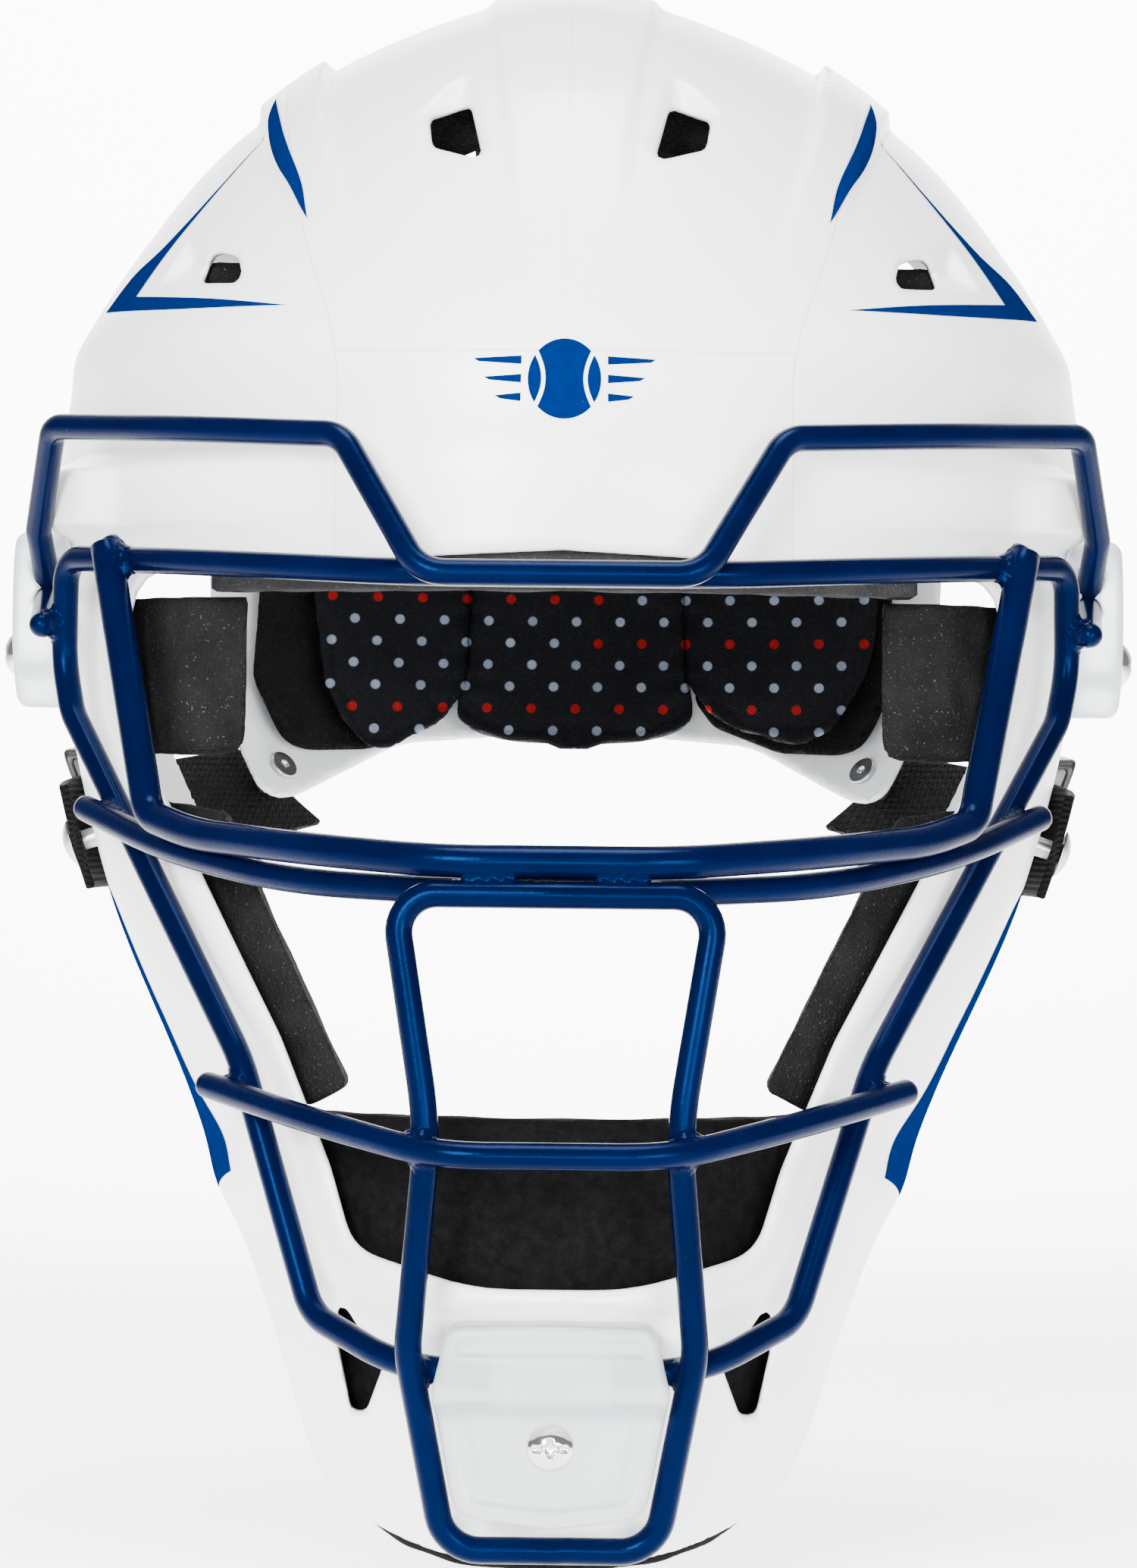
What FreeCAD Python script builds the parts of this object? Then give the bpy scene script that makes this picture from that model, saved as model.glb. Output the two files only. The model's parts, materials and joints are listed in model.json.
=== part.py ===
"""Hockey-style catcher's mask: a moulded front shell with a welded wire cage, plastic cage clips,
foam pads, and a back plate that hangs on elastic straps and hinges open at the crown.

Frame: millimetres, +X to the wearer's left, +Y to the back of the head, +Z up. The origin is the
centre of the wearer's head at hat-band height, so the mask is symmetric about the plane X = 0.
"""

import FreeCAD, Part
import math
import os
from FreeCAD import Rotation, Vector

OUT = "parts"

# Driving dimensions, in millimetres and degrees.
DIMENSIONS = {
    "shell_wall": 4.0,
    "liner_gap": 0.6,
    "pad_depth": 14.0,
    "thin_pad_depth": 10.0,
    "strap_lift": 3.0,
    "strap_thickness": 1.8,
    "cage_wire_radius": 2.55,
    "eye_wire_radius": 3.1,
    "stub_radius": 2.5,
    "clip_thickness": 10.0,
    "clip_corner": 5.0,
    "chin_clip_front": -165.5,
    "chin_clip_back": -140.0,
    "chin_clip_step": -158.5,
    "screw_shank_radius": 2.0,
    "screw_head_radius": 4.6,
    "screw_head_height": 2.6,
    "screw_slot_width": 1.2,
    "screw_slot_depth": 1.3,
    "screw_length": 17.0,
    "screw_hole_radius": 2.3,
    "nut_bore_radius": 2.06,
    "nut_barrel_radius": 3.2,
    "nut_barrel_length": 4.0,
    "nut_flange_radius": 6.5,
    "nut_flange_thickness": 1.2,
    "slider_play": 0.5,
    "slider_wall": 1.5,
    "rivet_head_radius": 5.0,
    "rivet_head_height": 2.0,
    "rivet_shank_radius": 2.0,
    "rivet_hole_radius": 2.3,
    "rivet_tail_radius": 3.2,
    "rivet_pocket_radius": 4.0,
    "nut_pocket_radius": 7.4,
    "temple_pad_face": 61.5,
    "clip_face": 111.8,
    "top_strap_width": 38.0,
    "chin_pad_reach": 47.0,
    "reach": 400.0,
}

# Level sections of the outer form, from chin to crown: height, half width, centre Y, half depth.
SECTIONS = [
    (-188.0, 38.0, -96.0, 50.0),
    (-170.0, 46.0, -92.0, 56.0),
    (-140.0, 57.0, -80.0, 71.0),
    (-100.0, 71.6, -58.0, 92.5),
    (-60.0, 90.3, -32.0, 112.5),
    (-30.0, 100.0, -12.0, 120.0),
    (0.0, 104.5, -1.0, 123.0),
    (25.0, 104.5, 0.0, 122.0),
    (48.0, 99.0, 0.0, 117.0),
    (70.0, 85.5, 1.0, 107.0),
    (92.0, 65.5, 2.0, 88.5),
    (108.0, 41.0, 3.0, 65.0),
    (116.0, 21.0, 4.0, 42.0),
    (119.5, 8.0, 4.0, 18.0),
]
WIDEST = 7  # the section where the sides stop and the dome of the crown begins

# Outlines, each point with its corner radius. Front outlines hold X and Z, side outlines Y and Z.
OUTLINES = {
    "face_opening": [
        (86, 1, 11), (80, -36, 40), (52, -88, 40), (42, -112, 30), (37.5, -127, 9),
        (15, -133.4, 60), (0, -133.4, 0),
    ],
    "shell_side": [
        (-220, 150, 0), (58, 150, 0), (60, 92, 20), (48, 52, 60), (46, -20, 40),
        (34, -58, 20), (-20, -100, 60), (-100, -172, 40), (-140, -184, 20), (-220, -184, 0),
    ],
    "plate_back": [
        (0, 84, 0), (38, 80, 16), (79, 20, 40), (77, -20, 18), (63, -46, 8), (26, -30, 20),
        (0, -28, 0),
    ],
    "plate_slot": [(36, 58, 3), (43, 52, 3), (58, 12, 3), (50, 10, 3)],
    "back_pad_center": [
        (0, 72, 0), (19, 70, 8), (24.5, 20, 30), (24.5, -20, 20), (16, -31, 8), (0, -32, 0),
    ],
    "back_pad_side": [
        (26, 64, 4), (36, 64, 8), (67, 20, 30), (68.5, -18, 8), (61, -33.5, 9), (44, -33, 10),
        (30, -27.5, 6), (26, -22, 4),
    ],
    "strap_side": [
        (-44, -41, 6), (10, -38, 40), (34, -39, 20), (47, -41.5, 20), (57, -33.5, 3),
        (75, -30, 4), (78, -36, 5), (73, -42, 4), (65, -44.5, 4), (62.5, -49, 4), (62.5, -58, 4),
        (10, -60, 20), (-43, -60, 8),
    ],
    "slider_side": [(10, -34, 3), (24, -33, 3), (25, -61, 3), (11, -62, 3)],
    "slider_slot": [(5, -36.3, 0), (30, -34.5, 0), (31, -59.5, 0), (6, -61, 0)],
    "top_strap": [(36, 0, 0), (107, 0, 0), (107, 150, 0), (36, 150, 0)],
    "clip_plate": [
        (-11, 17, 4), (6, 18, 7), (15, 9, 6), (13, -17, 7), (-3, -18, 7), (-15, -6, 6), (-15, 11, 5),
    ],
    "chin_clip": [
        (0, -139, 0), (19, -139.5, 4), (22, -152, 8), (17.5, -175, 6), (0, -177, 0),
    ],
    "temple_pad": [(-84, -4.5, 3), (-34, -4.5, 3), (-34, -34.5, 6), (-82, -35, 4)],
    "side_pad": [
        (-64, 49.5, 3), (-64, 61.5, 3), (0, 64, 10), (36, 56, 6), (36, 12, 4), (-26, 12, 4),
        (-26, 49.5, 4),
    ],
    "chin_pad_side": [
        (-160, -102.3, 0), (-86, -102.3, 3), (-84, -120, 20), (-94, -160, 20), (-103, -181, 5),
        (-136, -186.5, 4), (-160, -186.5, 0),
    ],
    "jaw_pad": [
        (98, -42, 4), (64.5, -46, 4), (39, -97, 3), (46, -101, 3), (66, -101, 4), (98, -60, 10),
    ],
    "crown_vent": [
        (27.3, 88.6, 2), (19.3, 91.4, 2), (16.7, 80.6, 1), (18.4, 80, 1), (26.4, 82.4, 2),
    ],
    "side_vent": [
        (70, 62, 1), (68.5, 63, 1), (64.2, 61.8, 2), (63.2, 58, 2), (64.4, 56.4, 1), (71.8, 56.8, 1),
    ],
    "chin_vent": [
        (40.6, -138.3, 1), (38.7, -138.8, 1), (31.7, -149, 2), (35, -158, 2), (38, -158, 2),
        (40.6, -146, 6),
    ],
}

# Centre lines of the cage wires on the +X side, from the mid plane outwards:
# X, Y, Z and the bend radius, where 0 takes the largest bend that fits.
WIRES = {
    "brow_wire": [
        (0, -135.65, -0.7, 0), (26.5, -135.2, -0.7, 8), (42, -121.5, 25.5, 8), (72, -104, 27, 0),
        (100, -74, 28.5, 6), (104.5, -52, 9, 8), (103, -40, -3, 0),
    ],
    "perimeter_wire": [
        (0, -130.6, -0.7, 0), (28, -129.6, -0.5, 0), (56, -116, 0.8, 0), (78, -96, 2, 0),
        (97.5, -70, 3, 6), (98, -66, -17, 0), (96, -70, -27, 12), (59.5, -124, -92.5, 24),
        (45, -138, -139.3, 10), (29, -152.5, -147.3, 0), (12, -157.6, -149, 0), (0, -157.6, -149, 0),
    ],
    "eye_frame_wire": [
        (0, -160, -54.4, 0), (22, -159, -54.4, 0), (48, -145, -52.4, 0), (69, -122, -50.2, 0),
        (78.3, -109.6, -46.8, 7), (88.5, -87.5, 5, 0),
    ],
    "lower_eye_bar": [
        (0, -156.6, -60, 0), (20, -155.8, -60, 0), (51, -138.5, -58.6, 0), (75, -109, -53.2, 0),
        (92, -84, -45.7, 0),
    ],
    "center_loop_wire": [
        (0, -161.6, -60.4, 0), (30, -159.4, -60.4, 7), (23, -163, -104, 60), (26.5, -158.4, -144.5, 20),
        (19.5, -152, -181.5, 8), (0, -152, -181.5, 0),
    ],
    "mid_bar": [
        (0, -169, -108, 0), (22, -168.4, -107.4, 0), (46, -149, -102.5, 0), (65.5, -123.5, -97.4, 0),
    ],
}
ROUND_ENDED = ("lower_eye_bar", "mid_bar")
STUB = [(102.2, -70, -10, 0), (103.4, -37, -3, 0)]

# Where things are fastened: a point on or near the outer form and, for vents and slots, a size.
PLACES = {
    "clip": (99.6, -30.0, -8.0),
    "clip_screw": (100.3, -28.0, -15.0),
    "chin_screw": (0.0, -149.0, -162.0),
    "strap_anchor": (93.0, -24.0, -51.0),
    "strap_plate": (63.0, 70.0, -38.0),
    "top_front_anchor": (10.0, 48.0, 112.0),
    "top_plate_anchor": (10.0, 100.0, 74.0),
    "ear_slots": (100.0, 8.0, -8.0),
}
EAR_SLOT = {"count": 3, "pitch": 11.0, "width": 6.0, "height": 24.0}

# Boxes that bound each pad inside the shell, low corner and high corner.
PAD_BOXES = {
    "forehead_pad": (-68, -150, -3.5, 68, -28, 48),
    "crown_pad": (-46, -66, 66, 46, 44, 130),
}
COLLAR = 0.3

doc = FreeCAD.newDocument("catchers_mask")
sheet = doc.addObject("Spreadsheet::Sheet", "dimensions")
nodes = {}


def fill_sheet():
    """Writes every driving dimension, section, outline and place into the sheet under an alias."""
    cells = dict(DIMENSIONS)
    for number, values in enumerate(SECTIONS):
        for word, value in zip(("height", "half_width", "centre", "half_depth"), values):
            cells[f"{word}_{number}"] = value
    for name, points in OUTLINES.items():
        for number, values in enumerate(points):
            for word, value in zip(("across", "up", "corner"), values):
                cells[f"{name}_{word}_{number}"] = value
    for name, points in {**WIRES, "clip_stub": STUB}.items():
        for number, values in enumerate(points):
            for word, value in zip(("x", "y", "z", "bend"), values):
                cells[f"{name}_{word}_{number}"] = value
    for name, values in PLACES.items():
        for word, value in zip(("x", "y", "z"), values):
            cells[f"{name}_place_{word}"] = value
    for name, values in PAD_BOXES.items():
        for word, value in zip(("low_x", "low_y", "low_z", "high_x", "high_y", "high_z"), values):
            cells[f"{name}_{word}"] = value
    for word, value in EAR_SLOT.items():
        cells[f"ear_slot_{word}"] = value
    for row, (alias, value) in enumerate(cells.items(), start=1):
        sheet.set(f"A{row}", alias)
        sheet.set(f"B{row}", str(value))
        sheet.setAlias(f"B{row}", alias)
    doc.recompute()


def size(alias):
    return float(sheet.get(alias))


def place(name):
    return Vector(*(size(f"{name}_place_{word}") for word in ("x", "y", "z")))


def add(type_id, name, **properties):
    """A document object with its properties set."""
    item = doc.addObject(type_id, name)
    item.Label = name
    for word, value in properties.items():
        setattr(item, word, value)
    return item


def cut(name, base, *tools):
    tool = tools[0] if len(tools) == 1 else add("Part::MultiFuse", f"{name}_tools", Shapes=list(tools))
    return add("Part::Cut", name, Base=base, Tool=tool)


def common(name, first, second):
    return add("Part::Common", name, Base=first, Tool=second)


def mirrored(name, source):
    """The -X copy of an object."""
    return add("Part::Mirroring", name, Source=source, Normal=Vector(1, 0, 0))


def both_sides(name, source):
    """One group that holds an object and its -X copy."""
    return add("Part::Compound", name, Links=[source, mirrored(f"{name}_other", source)])


def keep(name, item):
    """Marks an object as a sub-part of that name."""
    item.Label = name
    nodes[name] = item
    return item


def keep_pair(name, item):
    """Marks an object as the left sub-part, and its mirror image as the right one."""
    keep(f"{name}_left", item)
    keep(f"{name}_right", mirrored(f"{name}_mirror", item))


def bent_path(points, bends, closed=False):
    """Straight runs joined by tangent arcs. A bend of 0 takes the largest arc that fits."""
    count = len(points)
    last = count if closed else count - 1
    corners = range(count) if closed else range(1, count - 1)
    trims, middles = {}, {}
    for i in corners:
        back = (points[i - 1] - points[i]).normalize()
        ahead = (points[(i + 1) % count] - points[i]).normalize()
        half_turn = (math.pi - back.getAngle(ahead)) / 2
        room = 0.45 * min(points[i].distanceToPoint(points[i - 1]),
                          points[i].distanceToPoint(points[(i + 1) % count]))
        trim = min(bends[i] * math.tan(half_turn), room) if bends[i] else room
        if closed and not bends[i]:
            trim = 0.0
        if half_turn < 1e-4 or trim < 1e-4:
            continue
        radius = trim / math.tan(half_turn)
        to_centre = (back + ahead).normalize()
        middles[i] = points[i] + to_centre * (radius / math.cos(half_turn) - radius)
        trims[i] = (points[i] + back * trim, points[i] + ahead * trim)
    edges = []
    for i in range(last):
        j = (i + 1) % count
        start = trims[i][1] if i in trims else points[i]
        end = trims[j][0] if j in trims else points[j]
        if start.distanceToPoint(end) > 1e-6:
            edges.append(Part.LineSegment(start, end).toShape())
        if j in trims:
            edges.append(Part.Arc(trims[j][0], middles[j], trims[j][1]).toShape())
    return Part.Wire(Part.__sortEdges__(edges))


def outline_points(name, mirror_x):
    """An outline's points and corners from the sheet, completed on the -X side if it is a half."""
    count = len(OUTLINES[name])
    rows = [tuple(size(f"{name}_{word}_{i}") for word in ("across", "up", "corner"))
            for i in range(count)]
    if mirror_x:
        rows += [(-x, z, r) for x, z, r in reversed(rows) if x > 0.01]
    return rows


def prism(name, outline, facing, start, length, mirror_x=False):
    """A solid of that outline, pushed along Y for a front outline or along X for a side one."""
    rows = outline_points(outline, mirror_x)
    to_point = {"Y": lambda a, b: Vector(a, start, b), "X": lambda a, b: Vector(start, a, b)}[facing]
    wire = bent_path([to_point(a, b) for a, b, _ in rows], [r for _, _, r in rows], closed=True)
    face = add("Part::Feature", f"{name}_face")
    face.Shape = Part.Face(wire)
    return add("Part::Extrusion", name, Base=face, DirMode="Custom", Solid=True, LengthFwd=length,
               Dir={"Y": Vector(0, 1, 0), "X": Vector(1, 0, 0)}[facing])


def block(name, low, high):
    """A box between two corners."""
    low, high = Vector(*low), Vector(*high)
    across = high - low
    item = add("Part::Box", name, Length=across.x, Width=across.y, Height=across.z)
    item.Placement.Base = low
    return item


def form(name, inset):
    """The whole closed outer form, shrunk by an inset written as a sheet expression."""
    middle = f"dimensions.height_{WIDEST}"
    top = f"(dimensions.height_{len(SECTIONS) - 1} - {middle})"
    ellipses = []
    for i in range(len(SECTIONS)):
        wide, deep = f"dimensions.half_width_{i}", f"dimensions.half_depth_{i}"
        height = f"dimensions.height_{i}"
        if i > WIDEST:
            wide += f" * (1 - ({inset}) / dimensions.half_width_{WIDEST})"
            deep += f" * (1 - ({inset}) / dimensions.half_depth_{WIDEST})"
            height = f"{middle} + ({height} - {middle}) * (1 - ({inset}) / {top})"
        else:
            wide += f" - ({inset})"
            deep += f" - ({inset})"
        section = add("Part::Ellipse", f"{name}_section_{i}")
        section.Placement = FreeCAD.Placement(Vector(0, 0, 0), Rotation(Vector(0, 0, 1), 90))
        section.setExpression("MajorRadius", deep)
        section.setExpression("MinorRadius", wide)
        section.setExpression("Placement.Base.y", f"dimensions.centre_{i}")
        section.setExpression("Placement.Base.z", height)
        ellipses.append(section)
    return add("Part::Loft", name, Sections=ellipses, Solid=True, Ruled=False)


def outward(form_shape, point):
    """The point of a form's surface nearest to a point, and the outward normal there."""
    _, pairs, facts = form_shape.distToShape(Part.Vertex(point))
    on_form = pairs[0][0]
    face = form_shape.Faces[facts[0][1]] if facts[0][0] == "Face" else form_shape.Faces[0]
    u, v = face.Surface.parameter(on_form)
    normal = face.normalAt(u, v)
    inside = Vector(0, on_form.y * 0.2 - 20, on_form.z * 0.5)
    return on_form, normal if normal.dot(on_form - inside) > 0 else -normal


def stand(item, point, normal):
    """Places an object so that its own Z axis leaves the point along the normal."""
    item.Placement = FreeCAD.Placement(point, Rotation(Vector(0, 0, 1), normal))


def peg(name, point, normal, radius, low, high):
    """A round bar along a normal, from a low to a high distance."""
    item = add("Part::Cylinder", name, Height=high - low)
    item.setExpression("Radius", f"dimensions.{radius}")
    stand(item, point + normal * low, normal)
    return item


def wire_points(name, rows):
    points = [Vector(*(size(f"{name}_{word}_{i}") for word in ("x", "y", "z"))) for i in range(rows)]
    return points, [size(f"{name}_bend_{i}") for i in range(rows)]


def swept_bar(name, points, bends, radius):
    """A round bar swept along a bent path."""
    path = add("Part::Feature", f"{name}_path")
    path.Shape = bent_path(points, bends)
    ring = add("Part::Circle", f"{name}_ring")
    ring.setExpression("Radius", f"dimensions.{radius}")
    stand(ring, points[0], (points[1] - points[0]).normalize())
    return add("Part::Sweep", name, Sections=[ring], Spine=(path, []), Solid=True, Frenet=False)


def build_cage():
    """Every wire of the cage is swept on one side and joined to its mirror image."""
    for name, rows in WIRES.items():
        radius = "eye_wire_radius" if name == "eye_frame_wire" else "cage_wire_radius"
        points, bends = wire_points(name, len(rows))
        points[1] = Vector(points[1].x, points[0].y, points[0].z) if name != "center_loop_wire" else points[1]
        half = swept_bar(f"{name}_half", points, bends, radius)
        pieces = [half]
        if name in ROUND_ENDED:
            ball = add("Part::Sphere", f"{name}_end")
            ball.setExpression("Radius", f"dimensions.{radius}")
            ball.Placement.Base = points[-1]
            pieces.append(ball)
        pieces += [mirrored(f"{piece.Name}_mirror", piece) for piece in pieces]
        keep(name, add("Part::MultiFuse", name, Shapes=pieces, Refine=True))
    points, bends = wire_points("clip_stub", len(STUB))
    keep_pair("clip_stub", swept_bar("clip_stub_bar", points, bends, "stub_radius"))


def build_screw(name, point, normal, head_at):
    """A truss-head machine screw with a slotted recess, its head's underside at a distance."""
    head, shank = size("screw_head_radius"), size("screw_shank_radius")
    rise = size("screw_head_height")
    body = add("PartDesign::Body", f"{name}_body")
    sketch = body.newObject("Sketcher::SketchObject", f"{name}_profile")
    plane = next(f for f in body.Origin.OriginFeatures if f.Role == "XZ_Plane")
    sketch.AttachmentSupport = [(plane, "")]
    sketch.MapMode = "FlatFace"
    tail = -size("screw_length")
    crown = Part.Arc(Vector(head, 0, 0), Vector(head * 0.75, rise * 0.68, 0), Vector(0, rise, 0))
    corners = [Vector(0, rise, 0), Vector(0, tail, 0), Vector(shank, tail, 0), Vector(shank, 0, 0),
               Vector(head, 0, 0)]
    for first, second in zip(corners, corners[1:]):
        sketch.addGeometry(Part.LineSegment(first, second))
    sketch.addGeometry(crown)
    turned = body.newObject("PartDesign::Revolution", f"{name}_turned")
    turned.Profile = sketch
    turned.ReferenceAxis = (sketch, ["V_Axis"])
    turned.Angle = 360
    doc.recompute()
    body.Tip = turned
    slots = []
    for turn, side in enumerate(("long", "cross")):
        slot = add("Part::Box", f"{name}_{side}_slot", Height=rise)
        slot.setExpression("Length", f"dimensions.screw_head_radius * {1.5 if turn == 0 else 0.8}")
        slot.setExpression("Width", "dimensions.screw_slot_width")
        corner = Vector(-slot.Length.Value / 2, -size("screw_slot_width") / 2, rise - size("screw_slot_depth"))
        doc.recompute()
        corner.x = -slot.Length.Value / 2
        spin = Rotation(Vector(0, 0, 1), 90 * turn)
        slot.Placement = FreeCAD.Placement(spin.multVec(corner), spin)
        slots.append(slot)
    screw = cut(f"{name}_slotted", body, *slots)
    stand(screw, point + normal * head_at, normal)
    return screw


def build_nut(name, point, normal, face_at):
    """A tee nut: its flange lies against the inside of the shell at a distance along the normal."""
    flange = peg(f"{name}_flange", point, normal, "nut_flange_radius",
                 face_at - size("nut_flange_thickness"), face_at)
    barrel = peg(f"{name}_barrel", point, normal, "nut_barrel_radius",
                 face_at - size("nut_barrel_length"), face_at)
    bore = peg(f"{name}_bore", point, normal, "nut_bore_radius",
               face_at - 2 * size("nut_barrel_length"), face_at + size("nut_barrel_length"))
    return cut(name, add("Part::MultiFuse", f"{name}_blank", Shapes=[flange, barrel]), bore)


def ear_slots():
    """Slanted slots over each ear, cut through both sides of the shell."""
    centre = place("ear_slots")
    slots = []
    for i in range(int(size("ear_slot_count"))):
        shift = (i - (size("ear_slot_count") - 1) / 2) * size("ear_slot_pitch")
        slot = add("Part::Box", f"ear_slot_{i}", Length=size("reach"))
        slot.setExpression("Width", "dimensions.ear_slot_width")
        slot.setExpression("Height", "dimensions.ear_slot_height")
        slot.Placement.Base = Vector(-size("reach") / 2, centre.y + shift - size("ear_slot_width") / 2,
                                     centre.z - size("ear_slot_height") / 2)
        slots.append(slot)
    return slots


def pair(tool):
    return [tool, mirrored(f"{tool.Name}_mirror", tool)]


def from_half(name, item, side):
    """A symmetric piece made of one of its halves and that half's mirror image."""
    reach = size("reach")
    low, high = (0, reach) if side > 0 else (-reach, 0)
    half = common(f"{name}_half", item, block(f"{name}_half_box", (low, -reach, -reach), (high, reach, reach)))
    return add("Part::MultiFuse", f"{name}_whole", Shapes=[half, mirrored(f"{name}_half_mirror", half)], Refine=True)


def pad_from(name, region, outer, inner, pockets=()):
    """A pad: the part of the liner between two forms inside a region, less pockets for fasteners."""
    return cut(name, common(f"{name}_blank", region, outer), inner, *pockets)


def build_shell(outer, inner, holes):
    """The front shell: the front of the hollow form, with the face opening, vents and slots."""
    wall = cut("form_wall", outer, inner)
    region = prism("front_region", "shell_side", "X", -size("reach") / 2, size("reach"))
    front = common("front_wall", wall, region)
    reach = size("reach") / 2
    tools = [prism("face_gap", "face_opening", "Y", -reach, reach - 20, mirror_x=True)]
    for name in ("crown_vent", "side_vent", "chin_vent"):
        tools += pair(prism(name, name, "Y", -reach, reach - 20))
    tools += ear_slots() + holes
    keep("front_shell", cut("front_shell", front, *tools))
    return wall, region


def build_plate(wall, holes):
    """The back plate: the back of the hollow form, with two slanted slots."""
    region = prism("back_region", "plate_back", "Y", 40, size("reach") / 2, mirror_x=True)
    slots = pair(prism("plate_slot", "plate_slot", "Y", 0, size("reach") / 2))
    plate = cut("back_plate", common("back_wall", wall, region), *(slots + holes))
    keep("back_plate", from_half("back_plate", plate, -1))


def build_pads(liner_out, liner_in, front, pockets):
    """The foam pads that line the front shell, none of them past its back edge."""
    for name in PAD_BOXES:
        low = [size(f"{name}_low_{word}") for word in "xyz"]
        high = [size(f"{name}_high_{word}") for word in "xyz"]
        region = common(f"{name}_region", block(f"{name}_box", low, high), front)
        keep(name, pad_from(f"{name}_solid", region, liner_out, liner_in, pockets.get(name, [])))
    chin = prism("chin_region", "chin_pad_side", "X", -size("chin_pad_reach"), 2 * size("chin_pad_reach"))
    keep("chin_pad", pad_from("chin_solid", chin, liner_out, liner_in, pockets["chin_pad"]))
    side = prism("side_region", "side_pad", "X", 40, 80)
    keep_pair("side_pad", pad_from("side_solid", side, liner_out, liner_in))
    temple = prism("temple_region", "temple_pad", "X", size("temple_pad_face"), 60)
    keep_pair("temple_pad", pad_from("temple_solid", temple, liner_out, liner_in, pockets["temple_pad"]))
    jaw = prism("jaw_region", "jaw_pad", "Y", -160, 130)
    keep_pair("jaw_pad", pad_from("jaw_solid", jaw, liner_out, liner_in))


def build_back_pads(liner_out, thin_in, pockets):
    """The printed three-lobe liner of the back plate."""
    centre = prism("center_lobe_region", "back_pad_center", "Y", 20, 180, mirror_x=True)
    lobe = pad_from("center_lobe", centre, liner_out, thin_in, pockets["back_pad_center"])
    keep("back_pad_center", from_half("back_pad_center", lobe, 1))
    side = prism("side_lobe_region", "back_pad_side", "Y", 20, 180)
    keep_pair("back_pad", pad_from("side_lobe", side, liner_out, thin_in, pockets["back_pad"]))


def build_clips(outer):
    """The side clips and the chin clip, hollowed where the wires run through them."""
    at = place("clip")
    rows = outline_points("clip_plate", False)
    wire = bent_path([Vector(96, at.y + a, at.z + b) for a, b, _ in rows], [r for _, _, r in rows], True)
    face = add("Part::Feature", "clip_face")
    face.Shape = Part.Face(wire)
    plate = add("Part::Extrusion", "clip_blank", Base=face, DirMode="Custom", Solid=True,
                Dir=Vector(1, 0, 0), LengthFwd=size("clip_face") - 96)
    seat = place("clip_screw")
    hole = peg("clip_hole", Vector(90, seat.y, seat.z), Vector(1, 0, 0), "screw_hole_radius", 0, 30)
    keep_pair("side_clip", cut("side_clip_solid", plate, outer, nodes["brow_wire"],
                               nodes["clip_stub_left"], nodes["perimeter_wire"], hole))
    front, back = size("chin_clip_front"), size("chin_clip_back")
    blank = prism("chin_clip_blank", "chin_clip", "Y", front, back - front, mirror_x=True)
    step = block("chin_clip_lower", (-40, front - 10, -200), (40, size("chin_clip_step"), -154.5))
    bore = peg("chin_clip_hole", Vector(0, front, place("chin_screw").z), Vector(0, 1, 0),
               "screw_hole_radius", 0, 40)
    keep("chin_clip", cut("chin_clip_solid", blank, outer, nodes["perimeter_wire"],
                          nodes["center_loop_wire"], step, bore))


def build_straps(strap_in, strap_out, holes):
    """The side straps and the top strap, cut from the wall between two forms."""
    band = cut("strap_band", strap_out, strap_in)
    side = common("side_strap_blank", band, prism("side_strap_region", "strap_side", "X", 20, 180))
    keep_pair("side_strap", cut("side_strap_solid", side, *holes["side"]))
    region = prism("top_strap_region", "top_strap", "X", -size("top_strap_width") / 2,
                   size("top_strap_width"))
    top = cut("top_strap_solid", common("top_strap_blank", band, region), *holes["top"])
    keep("top_strap", from_half("top_strap", top, 1))


def build_sliders(ring_in, ring_out, slot_in, slot_out):
    """A flat ring around each side strap, with a window that leaves its middle bar."""
    ring = common("slider_blank", cut("slider_band", ring_out, ring_in),
                  prism("slider_region", "slider_side", "X", 20, 180))
    slot = common("slider_slot_blank", cut("slot_band", slot_out, slot_in),
                  prism("slider_slot_region", "slider_slot", "X", 20, 180))
    keep_pair("strap_slider", cut("slider_solid", ring, slot))


def rivet_pocket(name, spot):
    """Room in a pad for a rivet's tail."""
    deep = size("shell_wall") + 3
    return peg(name, *spot, "rivet_pocket_radius", -deep, 0)


def height_over(skin, point):
    """How far a point is from a form's surface, along the form's own normal there."""
    return skin.Shape.Shells[0].distToShape(Part.Vertex(point))[0]


def build_rivet(name, point, normal, head_at, tail_at):
    """A rivet: a domed outer head, a shank and a flat inner flange."""
    radius, rise = size("rivet_head_radius"), size("rivet_head_height")
    ball_radius = (radius ** 2 + rise ** 2) / (2 * rise)
    ball = add("Part::Sphere", f"{name}_ball", Radius=ball_radius)
    ball.Placement.Base = point + normal * (head_at + rise - ball_radius)
    cap = common(f"{name}_head", ball, peg(f"{name}_cap", point, normal, "rivet_head_radius", head_at, head_at + 4))
    shank = peg(f"{name}_shank", point, normal, "rivet_shank_radius", tail_at - 1, head_at + 0.5)
    tail = peg(f"{name}_tail", point, normal, "rivet_tail_radius", tail_at - 1, tail_at)
    return add("Part::MultiFuse", name, Shapes=[cap, shank, tail])


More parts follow.
